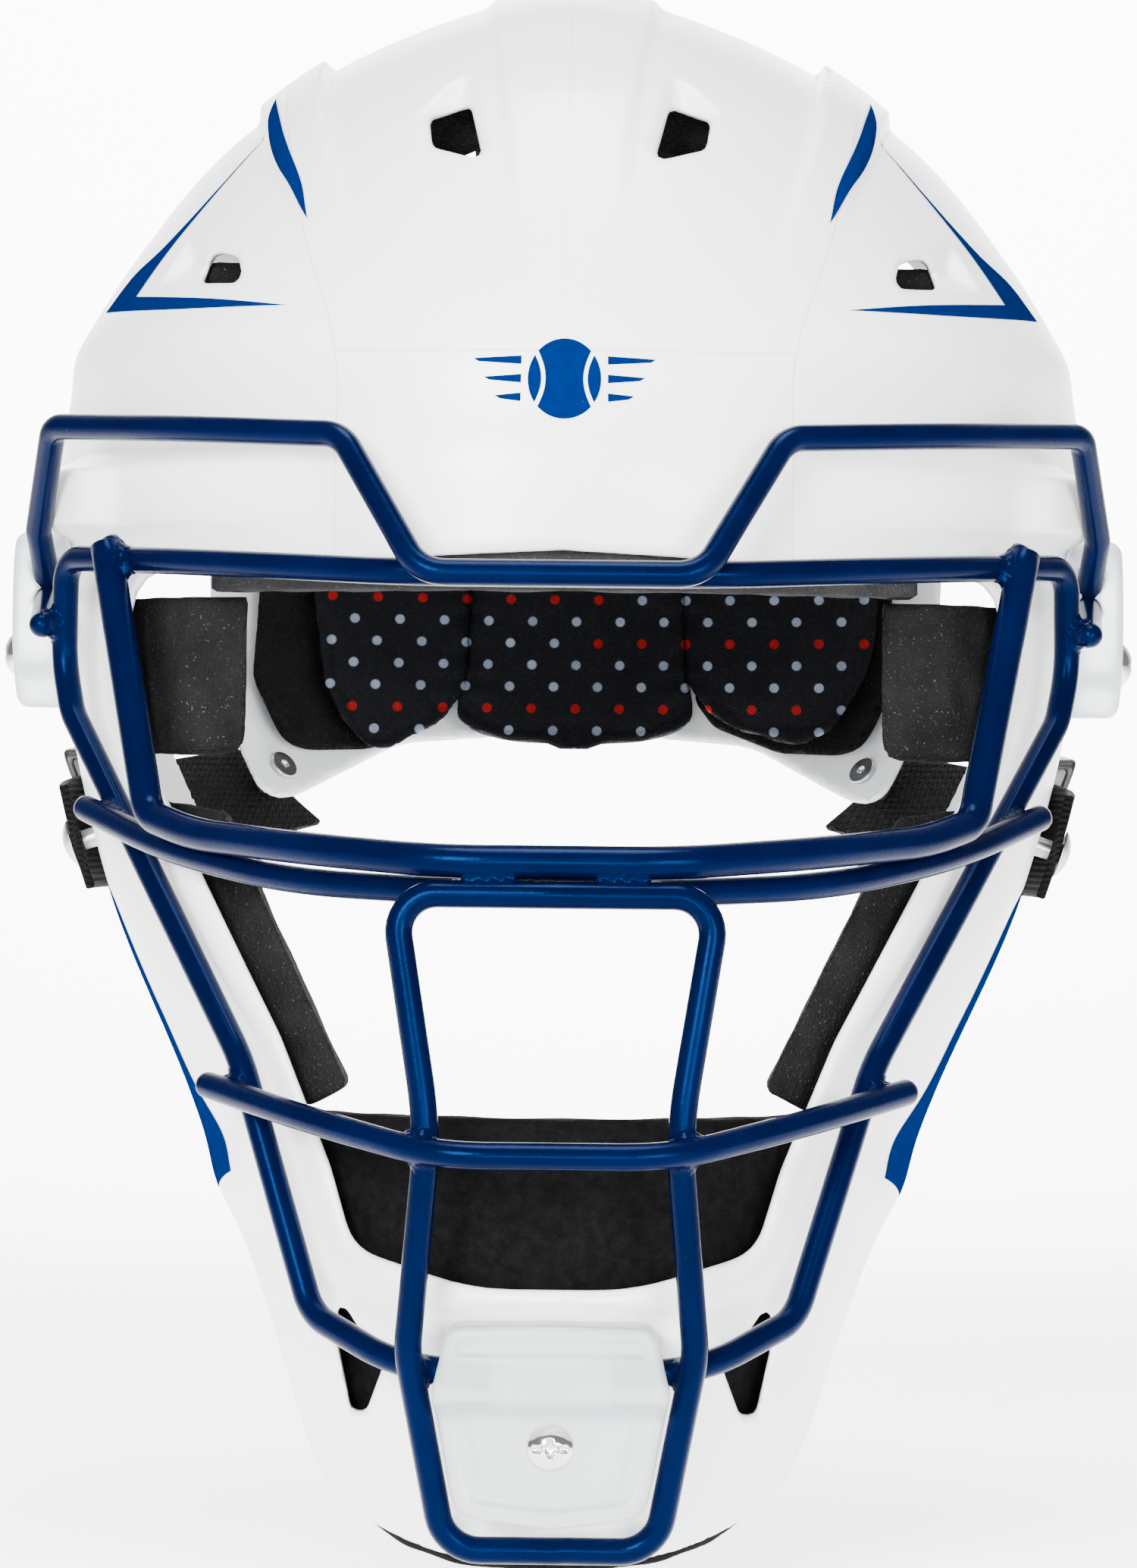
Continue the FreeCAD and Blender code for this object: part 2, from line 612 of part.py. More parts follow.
def check_and_write():
    """Checks every object of the document and writes each sub-part."""
    doc.recompute()
    for item in doc.Objects:
        faults = [word for word in item.State if word in ("Invalid", "Error")]
        if faults:
            raise RuntimeError(f"{item.Label}: {faults}")
        if hasattr(item, "Shape") and item.TypeId != "App::Origin":
            empty = item.TypeId.startswith(("App::", "PartDesign::CoordinateSystem"))
            if not empty and (item.Shape.isNull() or not item.Shape.isValid()):
                raise RuntimeError(f"{item.Label}: not a valid shape")
    os.makedirs(OUT, exist_ok=True)
    for name, item in nodes.items():
        if not item.Shape.Solids:
            raise RuntimeError(f"{name}: holds no solid")
        item.Shape.exportStep(os.path.join(OUT, f"{name}.step"))
        print(name, len(item.Shape.Solids), round(item.Shape.Volume))


def main():
    fill_sheet()
    wall, gap = "dimensions.shell_wall", "dimensions.liner_gap"
    outer = form("outer_form", "0")
    inner = form("inner_form", wall)
    liner_out = form("liner_outside", f"{wall} + {gap}")
    liner_in = form("liner_inside", f"{wall} + dimensions.pad_depth")
    thin_in = form("thin_liner_inside", f"{wall} + dimensions.thin_pad_depth")
    lift, cloth = "dimensions.strap_lift", "dimensions.strap_thickness"
    play, rim = "dimensions.slider_play", "dimensions.slider_wall"
    strap_in = form("strap_inside", f"-{lift}")
    strap_out = form("strap_outside", f"-{lift} - {cloth}")
    slot_in = form("slot_inside", f"{play} - {lift}")
    slot_out = form("slot_outside", f"-{lift} - {cloth} - {play}")
    ring_in = form("ring_inside", f"{play} + {rim} - {lift}")
    ring_out = form("ring_outside", f"-{lift} - {cloth} - {play} - {rim}")
    doc.recompute()

    thick = size("shell_wall")
    spots = {name: outward(outer.Shape, place(name)) for name in
             ("strap_anchor", "strap_plate", "top_front_anchor", "top_plate_anchor")}
    holes = {name: peg(f"{name}_hole", *spot, "rivet_hole_radius", -20, 20) for name, spot in spots.items()}
    seat, chin = place("clip_screw"), place("chin_screw")
    clip_hole = peg("clip_shell_hole", Vector(80, seat.y, seat.z), Vector(1, 0, 0), "screw_hole_radius", 0, 40)
    chin_hole = peg("chin_shell_hole", chin, Vector(0, -1, 0), "screw_hole_radius", -30, 30)

    build_cage()
    shell_holes = [chin_hole]
    for hole in (clip_hole, holes["strap_anchor"], holes["top_front_anchor"]):
        shell_holes += pair(hole)
    whole, front = build_shell(outer, inner, shell_holes)
    plate_holes = pair(holes["strap_plate"]) + pair(holes["top_plate_anchor"])
    build_plate(whole, plate_holes)
    screw_end = size("screw_length") + 3
    pockets = {
        "crown_pad": pair(rivet_pocket("crown_pocket", spots["top_front_anchor"])),
        "back_pad_center": pair(rivet_pocket("center_lobe_pocket", spots["top_plate_anchor"])),
        "back_pad": [rivet_pocket("side_lobe_pocket", spots["strap_plate"])],
        "temple_pad": [peg("temple_pocket", Vector(size("clip_face"), seat.y, seat.z), Vector(-1, 0, 0),
                           "nut_pocket_radius", 0, screw_end)],
        "chin_pad": [peg("chin_pocket", Vector(0, size("chin_clip_step"), chin.z), Vector(0, 1, 0),
                         "nut_pocket_radius", 0, screw_end)],
    }
    build_pads(liner_out, liner_in, front, pockets)
    build_back_pads(liner_out, thin_in, pockets)
    build_clips(outer)
    build_straps(strap_in, strap_out, {
        "side": [holes["strap_anchor"], holes["strap_plate"]],
        "top": pair(holes["top_front_anchor"]) + pair(holes["top_plate_anchor"]),
    })
    build_sliders(ring_in, ring_out, slot_in, slot_out)

    face = size("clip_face")
    clip_screw = build_screw("clip_screw", Vector(face, seat.y, seat.z), Vector(1, 0, 0), 0)
    keep("clip_screws", both_sides("clip_screws", clip_screw))
    on_shell, _ = outward(outer.Shape, Vector(seat.x + 4, seat.y, seat.z))
    nut_face = on_shell.x - thick - 6 * COLLAR
    clip_nut = build_nut("clip_nut", Vector(nut_face, seat.y, seat.z), Vector(1, 0, 0), 0)
    keep("clip_nuts", both_sides("clip_nuts", clip_nut))
    keep("chin_screw", build_screw("chin_screw", Vector(0, size("chin_clip_step"), chin.z), Vector(0, -1, 0), 0))
    keep("chin_nut", build_nut("chin_nut", Vector(0, -149.2 + thick + 0.9, chin.z), Vector(0, -1, 0), 0))

    for name, spot in spots.items():
        head_at = height_over(strap_out, spot[0]) + COLLAR
        tail_at = -height_over(inner, spot[0]) - COLLAR
        rivet = build_rivet(f"{name}_rivet", *spot, head_at, tail_at)
        keep(f"{name}_rivets", both_sides(f"{name}_rivets", rivet))
    check_and_write()


main()
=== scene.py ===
"""Hockey-style catcher's mask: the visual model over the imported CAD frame.

Lengths are in millimetres in this script's own shapes and in metres once they become meshes.
The axes are the frame's: the cage faces -Y, +Z is up, and the mask is symmetric about X = 0.
"""

import json
import math
import bpy
import numpy as np
from mathutils import Matrix, Quaternion, Vector, geometry, noise

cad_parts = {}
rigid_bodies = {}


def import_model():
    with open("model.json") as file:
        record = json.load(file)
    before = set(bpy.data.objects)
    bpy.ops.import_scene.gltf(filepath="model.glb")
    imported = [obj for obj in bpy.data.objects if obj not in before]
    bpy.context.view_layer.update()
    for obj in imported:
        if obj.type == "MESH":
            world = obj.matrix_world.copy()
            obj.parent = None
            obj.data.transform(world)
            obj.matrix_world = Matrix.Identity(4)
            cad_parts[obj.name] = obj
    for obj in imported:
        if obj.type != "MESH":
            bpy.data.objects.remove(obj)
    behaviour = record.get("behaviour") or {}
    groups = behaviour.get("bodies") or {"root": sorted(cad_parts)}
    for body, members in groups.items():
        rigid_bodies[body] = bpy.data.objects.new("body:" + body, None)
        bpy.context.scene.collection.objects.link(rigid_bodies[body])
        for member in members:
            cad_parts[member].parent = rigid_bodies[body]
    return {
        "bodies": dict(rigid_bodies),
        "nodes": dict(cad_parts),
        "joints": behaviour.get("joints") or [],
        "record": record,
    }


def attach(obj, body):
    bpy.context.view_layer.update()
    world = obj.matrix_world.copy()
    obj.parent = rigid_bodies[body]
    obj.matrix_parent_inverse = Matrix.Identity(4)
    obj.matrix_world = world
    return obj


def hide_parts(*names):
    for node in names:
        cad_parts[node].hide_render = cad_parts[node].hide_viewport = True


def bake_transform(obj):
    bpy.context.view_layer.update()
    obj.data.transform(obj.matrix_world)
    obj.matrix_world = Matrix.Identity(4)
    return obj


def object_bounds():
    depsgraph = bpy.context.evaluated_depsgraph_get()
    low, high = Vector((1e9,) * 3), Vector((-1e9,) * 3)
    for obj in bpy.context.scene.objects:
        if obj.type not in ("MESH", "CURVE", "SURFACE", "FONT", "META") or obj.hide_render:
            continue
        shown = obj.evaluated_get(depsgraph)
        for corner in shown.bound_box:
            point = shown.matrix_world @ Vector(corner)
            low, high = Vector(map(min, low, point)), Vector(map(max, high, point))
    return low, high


MM = 0.001
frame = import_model()
cad_low, cad_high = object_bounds()

# Level sections of the shell's outer form: height, half width, centre Y, half depth.
SECTIONS = np.array([
    (-188.0, 38.0, -96.0, 50.0), (-170.0, 46.0, -92.0, 56.0), (-140.0, 56.6, -80.0, 71.0),
    (-100.0, 73.0, -58.0, 92.5), (-60.0, 91.3, -32.0, 112.5), (-30.0, 100.0, -12.0, 120.0),
    (0.0, 104.5, -1.0, 123.0), (25.0, 104.5, 0.0, 122.0), (48.0, 99.0, 0.0, 117.0),
    (70.0, 85.5, 1.0, 107.0), (92.0, 65.5, 2.0, 88.5), (108.0, 41.0, 3.0, 65.0),
    (116.0, 21.0, 4.0, 42.0), (119.5, 8.0, 4.0, 18.0),
])
CROWN_TOP = 120.2
WALL = 4.0
LINER = WALL + 0.6
PAD_DEPTH = WALL + 14.0
THIN_PAD_DEPTH = WALL + 10.0
STRAP_LIFT, STRAP_THICKNESS = 3.0, 1.8
WIRE, EYE_WIRE, STUB_WIRE = 2.55, 3.1, 2.5

# Outlines with a corner radius at each point. Front ones hold X and Z, side ones Y and Z.
FACE_OPENING = [(0, 4, 0), (40, 2, 60), (86, 1, 11), (80, -36, 40), (52, -88, 40), (42, -112, 30),
                (37.5, -127, 9), (15, -133.4, 60), (0, -133.4, 0)]
SHELL_SIDE = [(-220, 150, 0), (58, 150, 0), (60, 92, 20), (48, 52, 60), (46, -20, 40), (34, -58, 20),
              (-20, -100, 60), (-100, -172, 40), (-140, -184, 20), (-220, -184, 0)]
PLATE_BACK = [(0, 84, 0), (38, 80, 16), (79, 20, 40), (77, -20, 18), (64.6, -46.3, 8), (38, -31.6, 20),
              (0, -28.6, 0)]
PLATE_SLOT = [(36, 58, 3), (43, 52, 3), (58, 12, 3), (50, 10, 3)]
CROWN_VENT = [(27.3, 88.6, 1.5), (19.3, 91.4, 1.5), (16.7, 80.6, 1), (18.4, 80, 1), (26.4, 82.4, 2)]
CROWN_SCOOP = [(29, 90, 2), (19.5, 99.5, 3), (14.8, 83, 2), (17, 79.5, 2), (27, 81.5, 2)]
SIDE_VENT = [(70, 62, 1), (68.5, 63, 1), (64.2, 61.8, 2), (63.2, 58, 2), (64.4, 56.4, 1), (71.8, 56.8, 1)]
SIDE_SCOOP = [(75, 66.5, 2), (69, 64, 2), (63.5, 62.3, 2), (62.5, 57, 2), (65, 55, 2), (81, 56.8, 2)]
CHIN_VENT = [(40.6, -138.3, 1), (38.7, -138.8, 1), (31.7, -149, 2), (35, -158, 2), (38, -158, 2), (40.6, -146, 6)]
BACK_PAD_CENTER = [(0, 72, 0), (19, 70, 8), (24.5, 20, 30), (24.5, -20, 20), (16, -31, 8), (0, -32, 0)]
BACK_PAD_SIDE = [(26, 64, 4), (36, 64, 8), (67, 20, 30), (68.5, -18, 8), (61, -33.5, 9), (44, -33, 10),
                 (30, -27.5, 6), (26, -22, 4)]
SIDE_PAD = [(-64, 49.5, 3), (-64, 61.5, 3), (0, 64, 10), (36, 56, 6), (36, 12, 4), (-26, 12, 4), (-26, 49.5, 4)]
TEMPLE_PAD = [(-84, -4.5, 2), (-34, -4.5, 2), (-34, -34.5, 5), (-82, -35, 3)]
LOBE_CENTER = [(0, 72, 0), (20, 70, 8), (23.5, 20, 30), (23.5, -15, 20), (27, -26, 5), (14, -30.5, 10), (0, -31.5, 0)]
LOBE_LEFT = [(22.5, 64, 6), (36, 66, 10), (64, 40, 12), (64.5, 0, 20), (62.5, -15, 8), (54.5, -28, 6),
             (46.5, -31.5, 5), (31, -26.5, 6), (23.6, -18.5, 6)]
LOBE_RIGHT = [(22.5, 64, 6), (36, 66, 10), (58, 40, 12), (56, 0, 20), (54, -17, 8), (50, -25, 6),
              (43.5, -32.3, 4), (38.5, -32.5, 3), (28, -26.5, 5), (23.5, -20, 5)]
JAW_PAD = [(98, -42, 4), (64.5, -46, 3), (39, -97, 2), (46, -101, 2), (66, -101, 4), (98, -60, 10)]
CHIN_PAD_SIDE = [(-160, -102.3, 0), (-86, -102.3, 6), (-84, -120, 20), (-94, -160, 20), (-103, -181, 5),
                 (-136, -186.5, 4), (-160, -186.5, 0)]
STRAP_SIDE = [(-44, -41, 6), (10, -38, 40), (34, -39, 20), (47, -41.5, 20), (57, -33.5, 3), (75, -30, 4),
              (78, -36, 5), (73, -42, 4), (65, -44.5, 4), (62.5, -49, 4), (62.5, -58, 4), (10, -60, 20),
              (-43, -60, 8)]
CLIP_SIDE = [(-41, 9, 4), (-24, 10, 7), (-15, 1, 6), (-17, -25, 7), (-33, -26, 7), (-45, -14, 6), (-45, 3, 5)]
CHIN_CLIP = [(0, -139, 0), (19, -139.5, 4), (22, -152, 8), (17.5, -175, 6), (0, -177, 0)]

# Centre lines of the cage wires on the +X side, from the mid plane outwards: X, Y, Z, bend radius.
WIRES = {
    "brow_wire": [(0, -135.65, -0.7, 0), (26.5, -135.65, -0.7, 8), (42, -121.5, 25.5, 8), (72, -104, 27, 0),
                  (100, -74, 28.5, 6), (104.5, -52, 9, 8), (103, -40, -3, 0)],
    "perimeter_wire": [(0, -130.6, -0.7, 0), (28, -130.6, -0.7, 0), (56, -116, 0.8, 0), (78, -96, 2, 0),
                       (97.5, -70, 3, 6), (98, -66, -17, 0), (96, -70, -27, 12), (59.5, -124, -92.5, 24),
                       (45, -138, -139.3, 10), (29, -152.5, -147.3, 0), (12, -157.6, -149, 0),
                       (0, -157.6, -149, 0)],
    "eye_frame_wire": [(0, -160, -54.4, 0), (22, -160, -54.4, 0), (48, -145, -52.4, 0), (69, -122, -50.2, 0),
                       (78.3, -109.6, -46.8, 7), (88.5, -87.5, 5, 0)],
    "lower_eye_bar": [(0, -156.6, -60, 0), (20, -156.6, -60, 0), (51, -138.5, -58.6, 0), (75, -109, -53.2, 0),
                      (92, -84, -45.7, 0)],
    "center_loop_wire": [(0, -161.6, -60.4, 0), (30, -159.4, -60.4, 7), (23, -163, -104, 60),
                         (26.5, -158.4, -144.5, 20), (19.5, -152, -181.5, 8), (0, -152, -181.5, 0)],
    "mid_bar": [(0, -169, -108, 0), (22, -169, -108, 0), (46, -149, -102.5, 0), (65.5, -123.5, -97.4, 0)],
}
ROUND_ENDED = ("lower_eye_bar", "mid_bar")
STUB = [(102.2, -70, -10, 0), (103.4, -37, -3, 0)]


# ---------------------------------------------------------------- fields: signed distances in mm

def fade(value, low, high):
    """0 below low, 1 above high, smooth between; it runs backwards when low is above high."""
    t = np.clip((value - low) / (high - low), 0.0, 1.0)
    return t * t * (3 - 2 * t)


def hump(value, centre, width):
    return np.exp(-((value - centre) / width) ** 2)


def meet(first, second, soft=1.0):
    """The overlap of two solids, with its edge rounded."""
    h = np.clip(0.5 + 0.5 * (first - second) / soft, 0, 1)
    return second + (first - second) * h + soft * h * (1 - h)


def join(first, second, soft=1.0):
    return -meet(-first, -second, soft)


def rounded(rows, mirror=False):
    """An outline's points with each corner replaced by a short arc of its radius."""
    if mirror:
        rows = rows + [(-x, z, r) for x, z, r in reversed(rows) if x > 0.01]
    points = [Vector(row[:2]) for row in rows]
    out = []
    for i, row in enumerate(rows):
        here, before, after = points[i], points[i - 1], points[(i + 1) % len(rows)]
        back, ahead = (before - here), (after - here)
        half = (math.pi - back.angle(ahead)) / 2
        room = 0.45 * min(back.length, ahead.length)
        trim = min(row[2] * math.tan(half), room)
        if trim < 0.05:
            out.append(here)
            continue
        start, end = here + back.normalized() * trim, here + ahead.normalized() * trim
        for t in np.linspace(0, 1, 6):
            out.append(start * (1 - t) ** 2 + here * 2 * t * (1 - t) + end * t * t)
    return np.array([tuple(p) for p in out])


def polygon_distance(u, v, outline):
    """Signed distance to a closed outline in a plane, negative inside."""
    best = np.full(u.shape, 1e9)
    inside = np.zeros(u.shape, bool)
    for (ax, ay), (bx, by) in zip(outline, np.roll(outline, -1, axis=0)):
        ex, ey = bx - ax, by - ay
        wx, wy = u - ax, v - ay
        t = np.clip((wx * ex + wy * ey) / max(ex * ex + ey * ey, 1e-9), 0, 1)
        best = np.minimum(best, (wx - ex * t) ** 2 + (wy - ey * t) ** 2)
        crosses = (ay > v) != (by > v)
        with np.errstate(divide="ignore", invalid="ignore"):
            inside ^= crosses & (wx < wy * ex / (ey if ey else 1e-12))
    return np.sqrt(best) * np.where(inside, -1, 1)


def form_table():
    """Ratio, size and centre of the outer form's ellipse at close heights, on one smooth curve each."""
    z = np.append(SECTIONS[:, 0], CROWN_TOP)
    wide, deep = SECTIONS[:, 1], SECTIONS[:, 3]
    columns = [np.append(deep / wide, 2.3), np.append(deep * wide, 0.0), np.append(SECTIONS[:, 2], 4.0)]
    fine = np.arange(z[0], z[-1], 0.2)
    table = [fine]
    for values in columns:
        slope = np.gradient(values, z)
        i = np.clip(np.searchsorted(z, fine, side="right") - 1, 0, len(z) - 2)
        span = z[i + 1] - z[i]
        t = (fine - z[i]) / span
        table.append((2 * t**3 - 3 * t**2 + 1) * values[i] + (t**3 - 2 * t**2 + t) * span * slope[i]
                     + (3 * t**2 - 2 * t**3) * values[i + 1] + (t**3 - t**2) * span * slope[i + 1])
    return table


TABLE = form_table()
SLOPES = [np.gradient(column, TABLE[0]) for column in TABLE[1:]]


def form(p):
    """Distance from the plain outer form."""
    x, y, z = p[:, 0], p[:, 1], p[:, 2]
    over = np.maximum(z - TABLE[0][-1], 0)
    ratio, area, centre = (np.interp(z, TABLE[0], column) for column in TABLE[1:])
    d_ratio, d_area, d_centre = (np.interp(z, TABLE[0], column) for column in SLOPES)
    area = area + over * d_area
    dy = y - centre
    value = x * x * ratio + dy * dy / ratio - area
    gx, gy = 2 * x * ratio, 2 * dy / ratio
    gz = (x * x - dy * dy / ratio**2) * d_ratio - 2 * dy * d_centre / ratio - d_area
    return value / np.sqrt(gx * gx + gy * gy + gz * gz + 1e-6)


OPENING = rounded(FACE_OPENING, mirror=True)
SIDE = rounded(SHELL_SIDE)
OUT = {name: rounded(rows) for name, rows in {
    "crown_vent": CROWN_VENT, "crown_scoop": CROWN_SCOOP, "side_vent": SIDE_VENT, "side_scoop": SIDE_SCOOP,
    "chin_vent": CHIN_VENT, "slot": PLATE_SLOT}.items()}


def relief(p):
    """How far the moulded details stand out of the plain form."""
    ax, y, z = np.abs(p[:, 0]), p[:, 1], p[:, 2]
    front = fade(y, 10, -40)
    rise = np.zeros(len(p))
    # raised side ribs over the crown, and a raised middle panel that dies out towards the brow
    inner = np.interp(z, [45, 59, 66, 80, 90, 103], [38, 40, 41.4, 45.4, 47.8, 49.5])
    outer = np.interp(z, [45, 66, 80, 90, 97], [46, 51.5, 57, 61, 64.5])
    rise += (1.8 * fade(z, 58, 90) + 1.0 * fade(z, 84, 96)) * fade(ax, inner - 1.2, inner + 1.4) * fade(
        ax, outer + 1.8, outer - 1.2)
    # the jaw keeps its width down to a corner
    rise += 1.2 * hump(z, -118, 7) * fade(ax, 55, 63)
    middle = np.interp(z, [60, 68, 86, 102, 111, 118], [9.5, 10.3, 12.1, 13.8, 16, 17])
    rise += 1.3 * fade(ax, middle + 1.4, middle - 1.2) * fade(z, 62, 98)
    # the brow: a soft break, a channel for the brow wire, and a band that grows towards the temples
    side = fade(ax, 30, 78) * front
    rise += 1.6 * side * hump(z, 45, 6)
    rise -= (0.7 * front + 3.0 * side) * hump(z, 32, 7.5)
    band = fade(z, 6, 10.5) * fade(z, 24.5, 20)
    rise += band * fade(ax, 36, 92) * fade(y, -40, -47) * (2.4 + 4.0 * fade(ax, 86, 97))
    rise -= 0.9 * fade(ax, 36, 80) * hump(z, 6.0, 2.6) * fade(y, -44, -52)
    # a rolled lip round the face opening
    gap = polygon_distance(p[:, 0], z, OPENING)
    lip = fade(gap, 7.5, 4.0) * fade(y, -30, -50) * fade(z, 3, -8)
    rise += 1.3 * lip - 0.7 * hump(gap, 8.5, 2.2) * fade(y, -30, -50) * fade(z, 0, -12)
    # scoops round the vents, and a seat for the chin clip
    for name in ("crown_scoop", "side_scoop"):
        near = polygon_distance(ax, z, OUT[name])
        rise -= np.clip(-near * 0.75, 0, 2.6) * (y < 0)
    seat = polygon_distance(p[:, 0], z, CHIN_SEAT)
    rise -= 1.2 * fade(seat, 1.2, -1.2) * front
    return rise


CHIN_SEAT = rounded([(0, -136.5, 0), (21.5, -137, 4), (24.5, -152, 8), (20, -178, 6), (0, -180, 0)], mirror=True)
CLIP_PLAN = rounded(CLIP_SIDE)
CHIN_PLAN = rounded(CHIN_CLIP, mirror=True)


def skin(p):
    """Distance from the moulded outer surface of the front shell."""
    return form(p) - relief(p)


def ear_slots(p):
    y, z = p[:, 1], p[:, 2]
    best = np.full(len(p), 1e9)
    for i in (-1, 0, 1):
        dy, dz = np.abs(y - 8 - 11 * i) - 1.2, np.abs(z + 8) - 9.2
        outside = np.hypot(np.maximum(dy, 0), np.maximum(dz, 0)) + np.minimum(np.maximum(dy, dz), 0)
        best = np.minimum(best, outside - 1.8)
    return best


def front_shell_field(p):
    x, y, z = p[:, 0], p[:, 1], p[:, 2]
    ax = np.abs(x)
    outer = skin(p)
    solid = meet(outer, -(outer + WALL), 1.2)
    solid = meet(solid, polygon_distance(y, z, SIDE), 1.6)
    front_only = (y + 30) * 1.0
    solid = meet(solid, -np.maximum(polygon_distance(x, z, OPENING), front_only), 2.2)
    for name in ("crown_vent", "side_vent", "chin_vent"):
        solid = meet(solid, -np.maximum(polygon_distance(ax, z, OUT[name]), front_only), 0.9)
    solid = meet(solid, -ear_slots(p), 1.0)
    return solid


def back_plate_field(p):
    x, y, z = p[:, 0], p[:, 1], p[:, 2]
    plain = form(p)
    edge = polygon_distance(x, z, rounded(PLATE_BACK, mirror=True))
    outer = plain - 1.0 * fade(edge, -9, -6) - 0.8 * fade(np.abs(x), 9, 7) * fade(edge, -12, -16)
    solid = meet(outer, -(plain + WALL), 1.2)
    solid = meet(solid, np.maximum(edge, 40 - y), 1.4)
    return meet(solid, -polygon_distance(np.abs(x), z, OUT["slot"]), 1.2)


# ---------------------------------------------------------------- meshes

def grid_values(field, low, high, cell):
    """Field values on a fine grid, worked out only near the surface."""
    block = 4
    counts = [int(math.ceil((h - l) / cell / block)) * block for l, h in zip(low, high)]
    axes = [l + cell * np.arange(n) for l, n in zip(low, counts)]
    centres = [axis[::block] + cell * (block - 1) / 2 for axis in axes]
    coarse = np.stack(np.meshgrid(*centres, indexing="ij"), -1).reshape(-1, 3)
    rough = field(coarse).reshape([len(c) for c in centres])
    reach = cell * block * 0.87 * 1.7 + 2 * cell
    active = np.abs(rough) < reach
    def spread(array):
        for axis in range(3):
            array = np.repeat(array, block, axis)
        return array
    values = spread(np.where(rough < 0, -9.0, 9.0)).astype(np.float64)
    where = np.argwhere(spread(active))
    points = np.stack([axes[i][where[:, i]] for i in range(3)], -1)
    near = np.concatenate([field(part) for part in np.array_split(points, max(1, len(points) // 400000))])
    values[where[:, 0], where[:, 1], where[:, 2]] = near
    return values


def surface_net(values, low, cell):
    """Points and quads of the zero surface of a grid of values."""
    inside = values < 0
    corners = [(i, j, k) for i in (0, 1) for j in (0, 1) for k in (0, 1)]
    n = [s - 1 for s in values.shape]
    count = sum(inside[i:i + n[0], j:j + n[1], k:k + n[2]].astype(np.int8) for i, j, k in corners)
    mixed = (count > 0) & (count < 8)
    cells = np.argwhere(mixed)
    ids = np.full(mixed.shape, -1, np.int64)
    ids[mixed] = np.arange(len(cells))
    total, hits = np.zeros((len(cells), 3)), np.zeros((len(cells), 1))
    for a in corners:
        for axis in range(3):
            if a[axis]:
                continue
            b = list(a)
            b[axis] = 1
            va = values[tuple((cells + a).T)]
            vb = values[tuple((cells + b).T)]
            cross = (va < 0) != (vb < 0)
            t = np.where(cross, va / np.where(cross, va - vb, 1), 0)
            point = np.tile(np.array(a, float), (len(cells), 1))
            point[:, axis] += t
            total += np.where(cross[:, None], point, 0)
            hits += cross[:, None]
    points = np.array(low) + cell * (cells + total / hits)
    quads = []
    for axis in range(3):
        u, v = (axis + 1) % 3, (axis + 2) % 3
        lower = [slice(None)] * 3
        upper = [slice(None)] * 3
        lower[axis], upper[axis] = slice(0, -1), slice(1, None)
        flips = inside[tuple(lower)] != inside[tuple(upper)]
        edge = np.argwhere(flips)
        edge = edge[(edge[:, u] > 0) & (edge[:, v] > 0) & (edge[:, u] < n[u]) & (edge[:, v] < n[v])]
        ring = []
        for du, dv in ((-1, -1), (0, -1), (0, 0), (-1, 0)):
            c = edge.copy()
            c[:, u] += du
            c[:, v] += dv
            ring.append(ids[tuple(c.T)])
        ring = np.stack(ring, -1)
        outward = inside[tuple(edge.T)]
        quads.append(np.where(outward[:, None], ring, ring[:, ::-1]))
    return points, np.concatenate(quads)


def gradient(field, p, h=0.05):
    steps = np.eye(3) * h
    return np.stack([(field(p + s) - field(p - s)) / (2 * h) for s in steps], -1)


def settle(field, p, rounds=2):
    """Moves points onto the zero surface of a field."""
    for _ in range(rounds):
        slope = gradient(field, p)
        length = np.maximum((slope**2).sum(1), 0.05)
        move = field(p)[:, None] * slope / length[:, None]
        size = np.linalg.norm(move, axis=1, keepdims=True)
        p = p - move * np.minimum(1, 0.8 / np.maximum(size, 1e-9))
    return p


def link(name, mesh, body=None, slot=None, material=None, stands_for=(), smooth=True):
    """Adds a mesh to the scene as a piece, riding on a body when one is given."""
    piece = bpy.data.objects.new(name, mesh)
    bpy.context.scene.collection.objects.link(piece)
    if smooth:
        mesh.shade_smooth()
    if material:
        mesh.materials.append(material)
    if body:
        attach(piece, body)
    if stands_for:
        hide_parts(*stands_for)
    return piece


def mesh_of(name, points, faces):
    """A mesh in metres from points in millimetres."""
    mesh = bpy.data.meshes.new(name)
    faces = np.asarray(faces)
    mesh.vertices.add(len(points))
    mesh.vertices.foreach_set("co", (np.asarray(points, float) * MM).ravel())
    mesh.loops.add(faces.size)
    mesh.loops.foreach_set("vertex_index", faces.astype(np.int32).ravel())
    mesh.polygons.add(len(faces))
    mesh.polygons.foreach_set("loop_start", np.arange(0, faces.size, faces.shape[1], dtype=np.int32))
    mesh.update(calc_edges=True)
    mesh.validate()
    return mesh


def carve(name, field, low, high, cell, **how):
    """A piece whose surface is the zero surface of a field."""
    low, high = np.array(low, float) - 3 * cell, np.array(high, float) + 3 * cell
    points, quads = surface_net(grid_values(field, low, high, cell), low, cell)
    return link(name, mesh_of(name, settle(field, points), quads), **how)


def mirrored_mesh(mesh, name):
    """The -X copy of a mesh."""
    copy = mesh.copy()
    copy.name = name
    copy.transform(Matrix.Scale(-1, 4, (1, 0, 0)))
    copy.flip_normals()
    return copy


# ---------------------------------------------------------------- materials

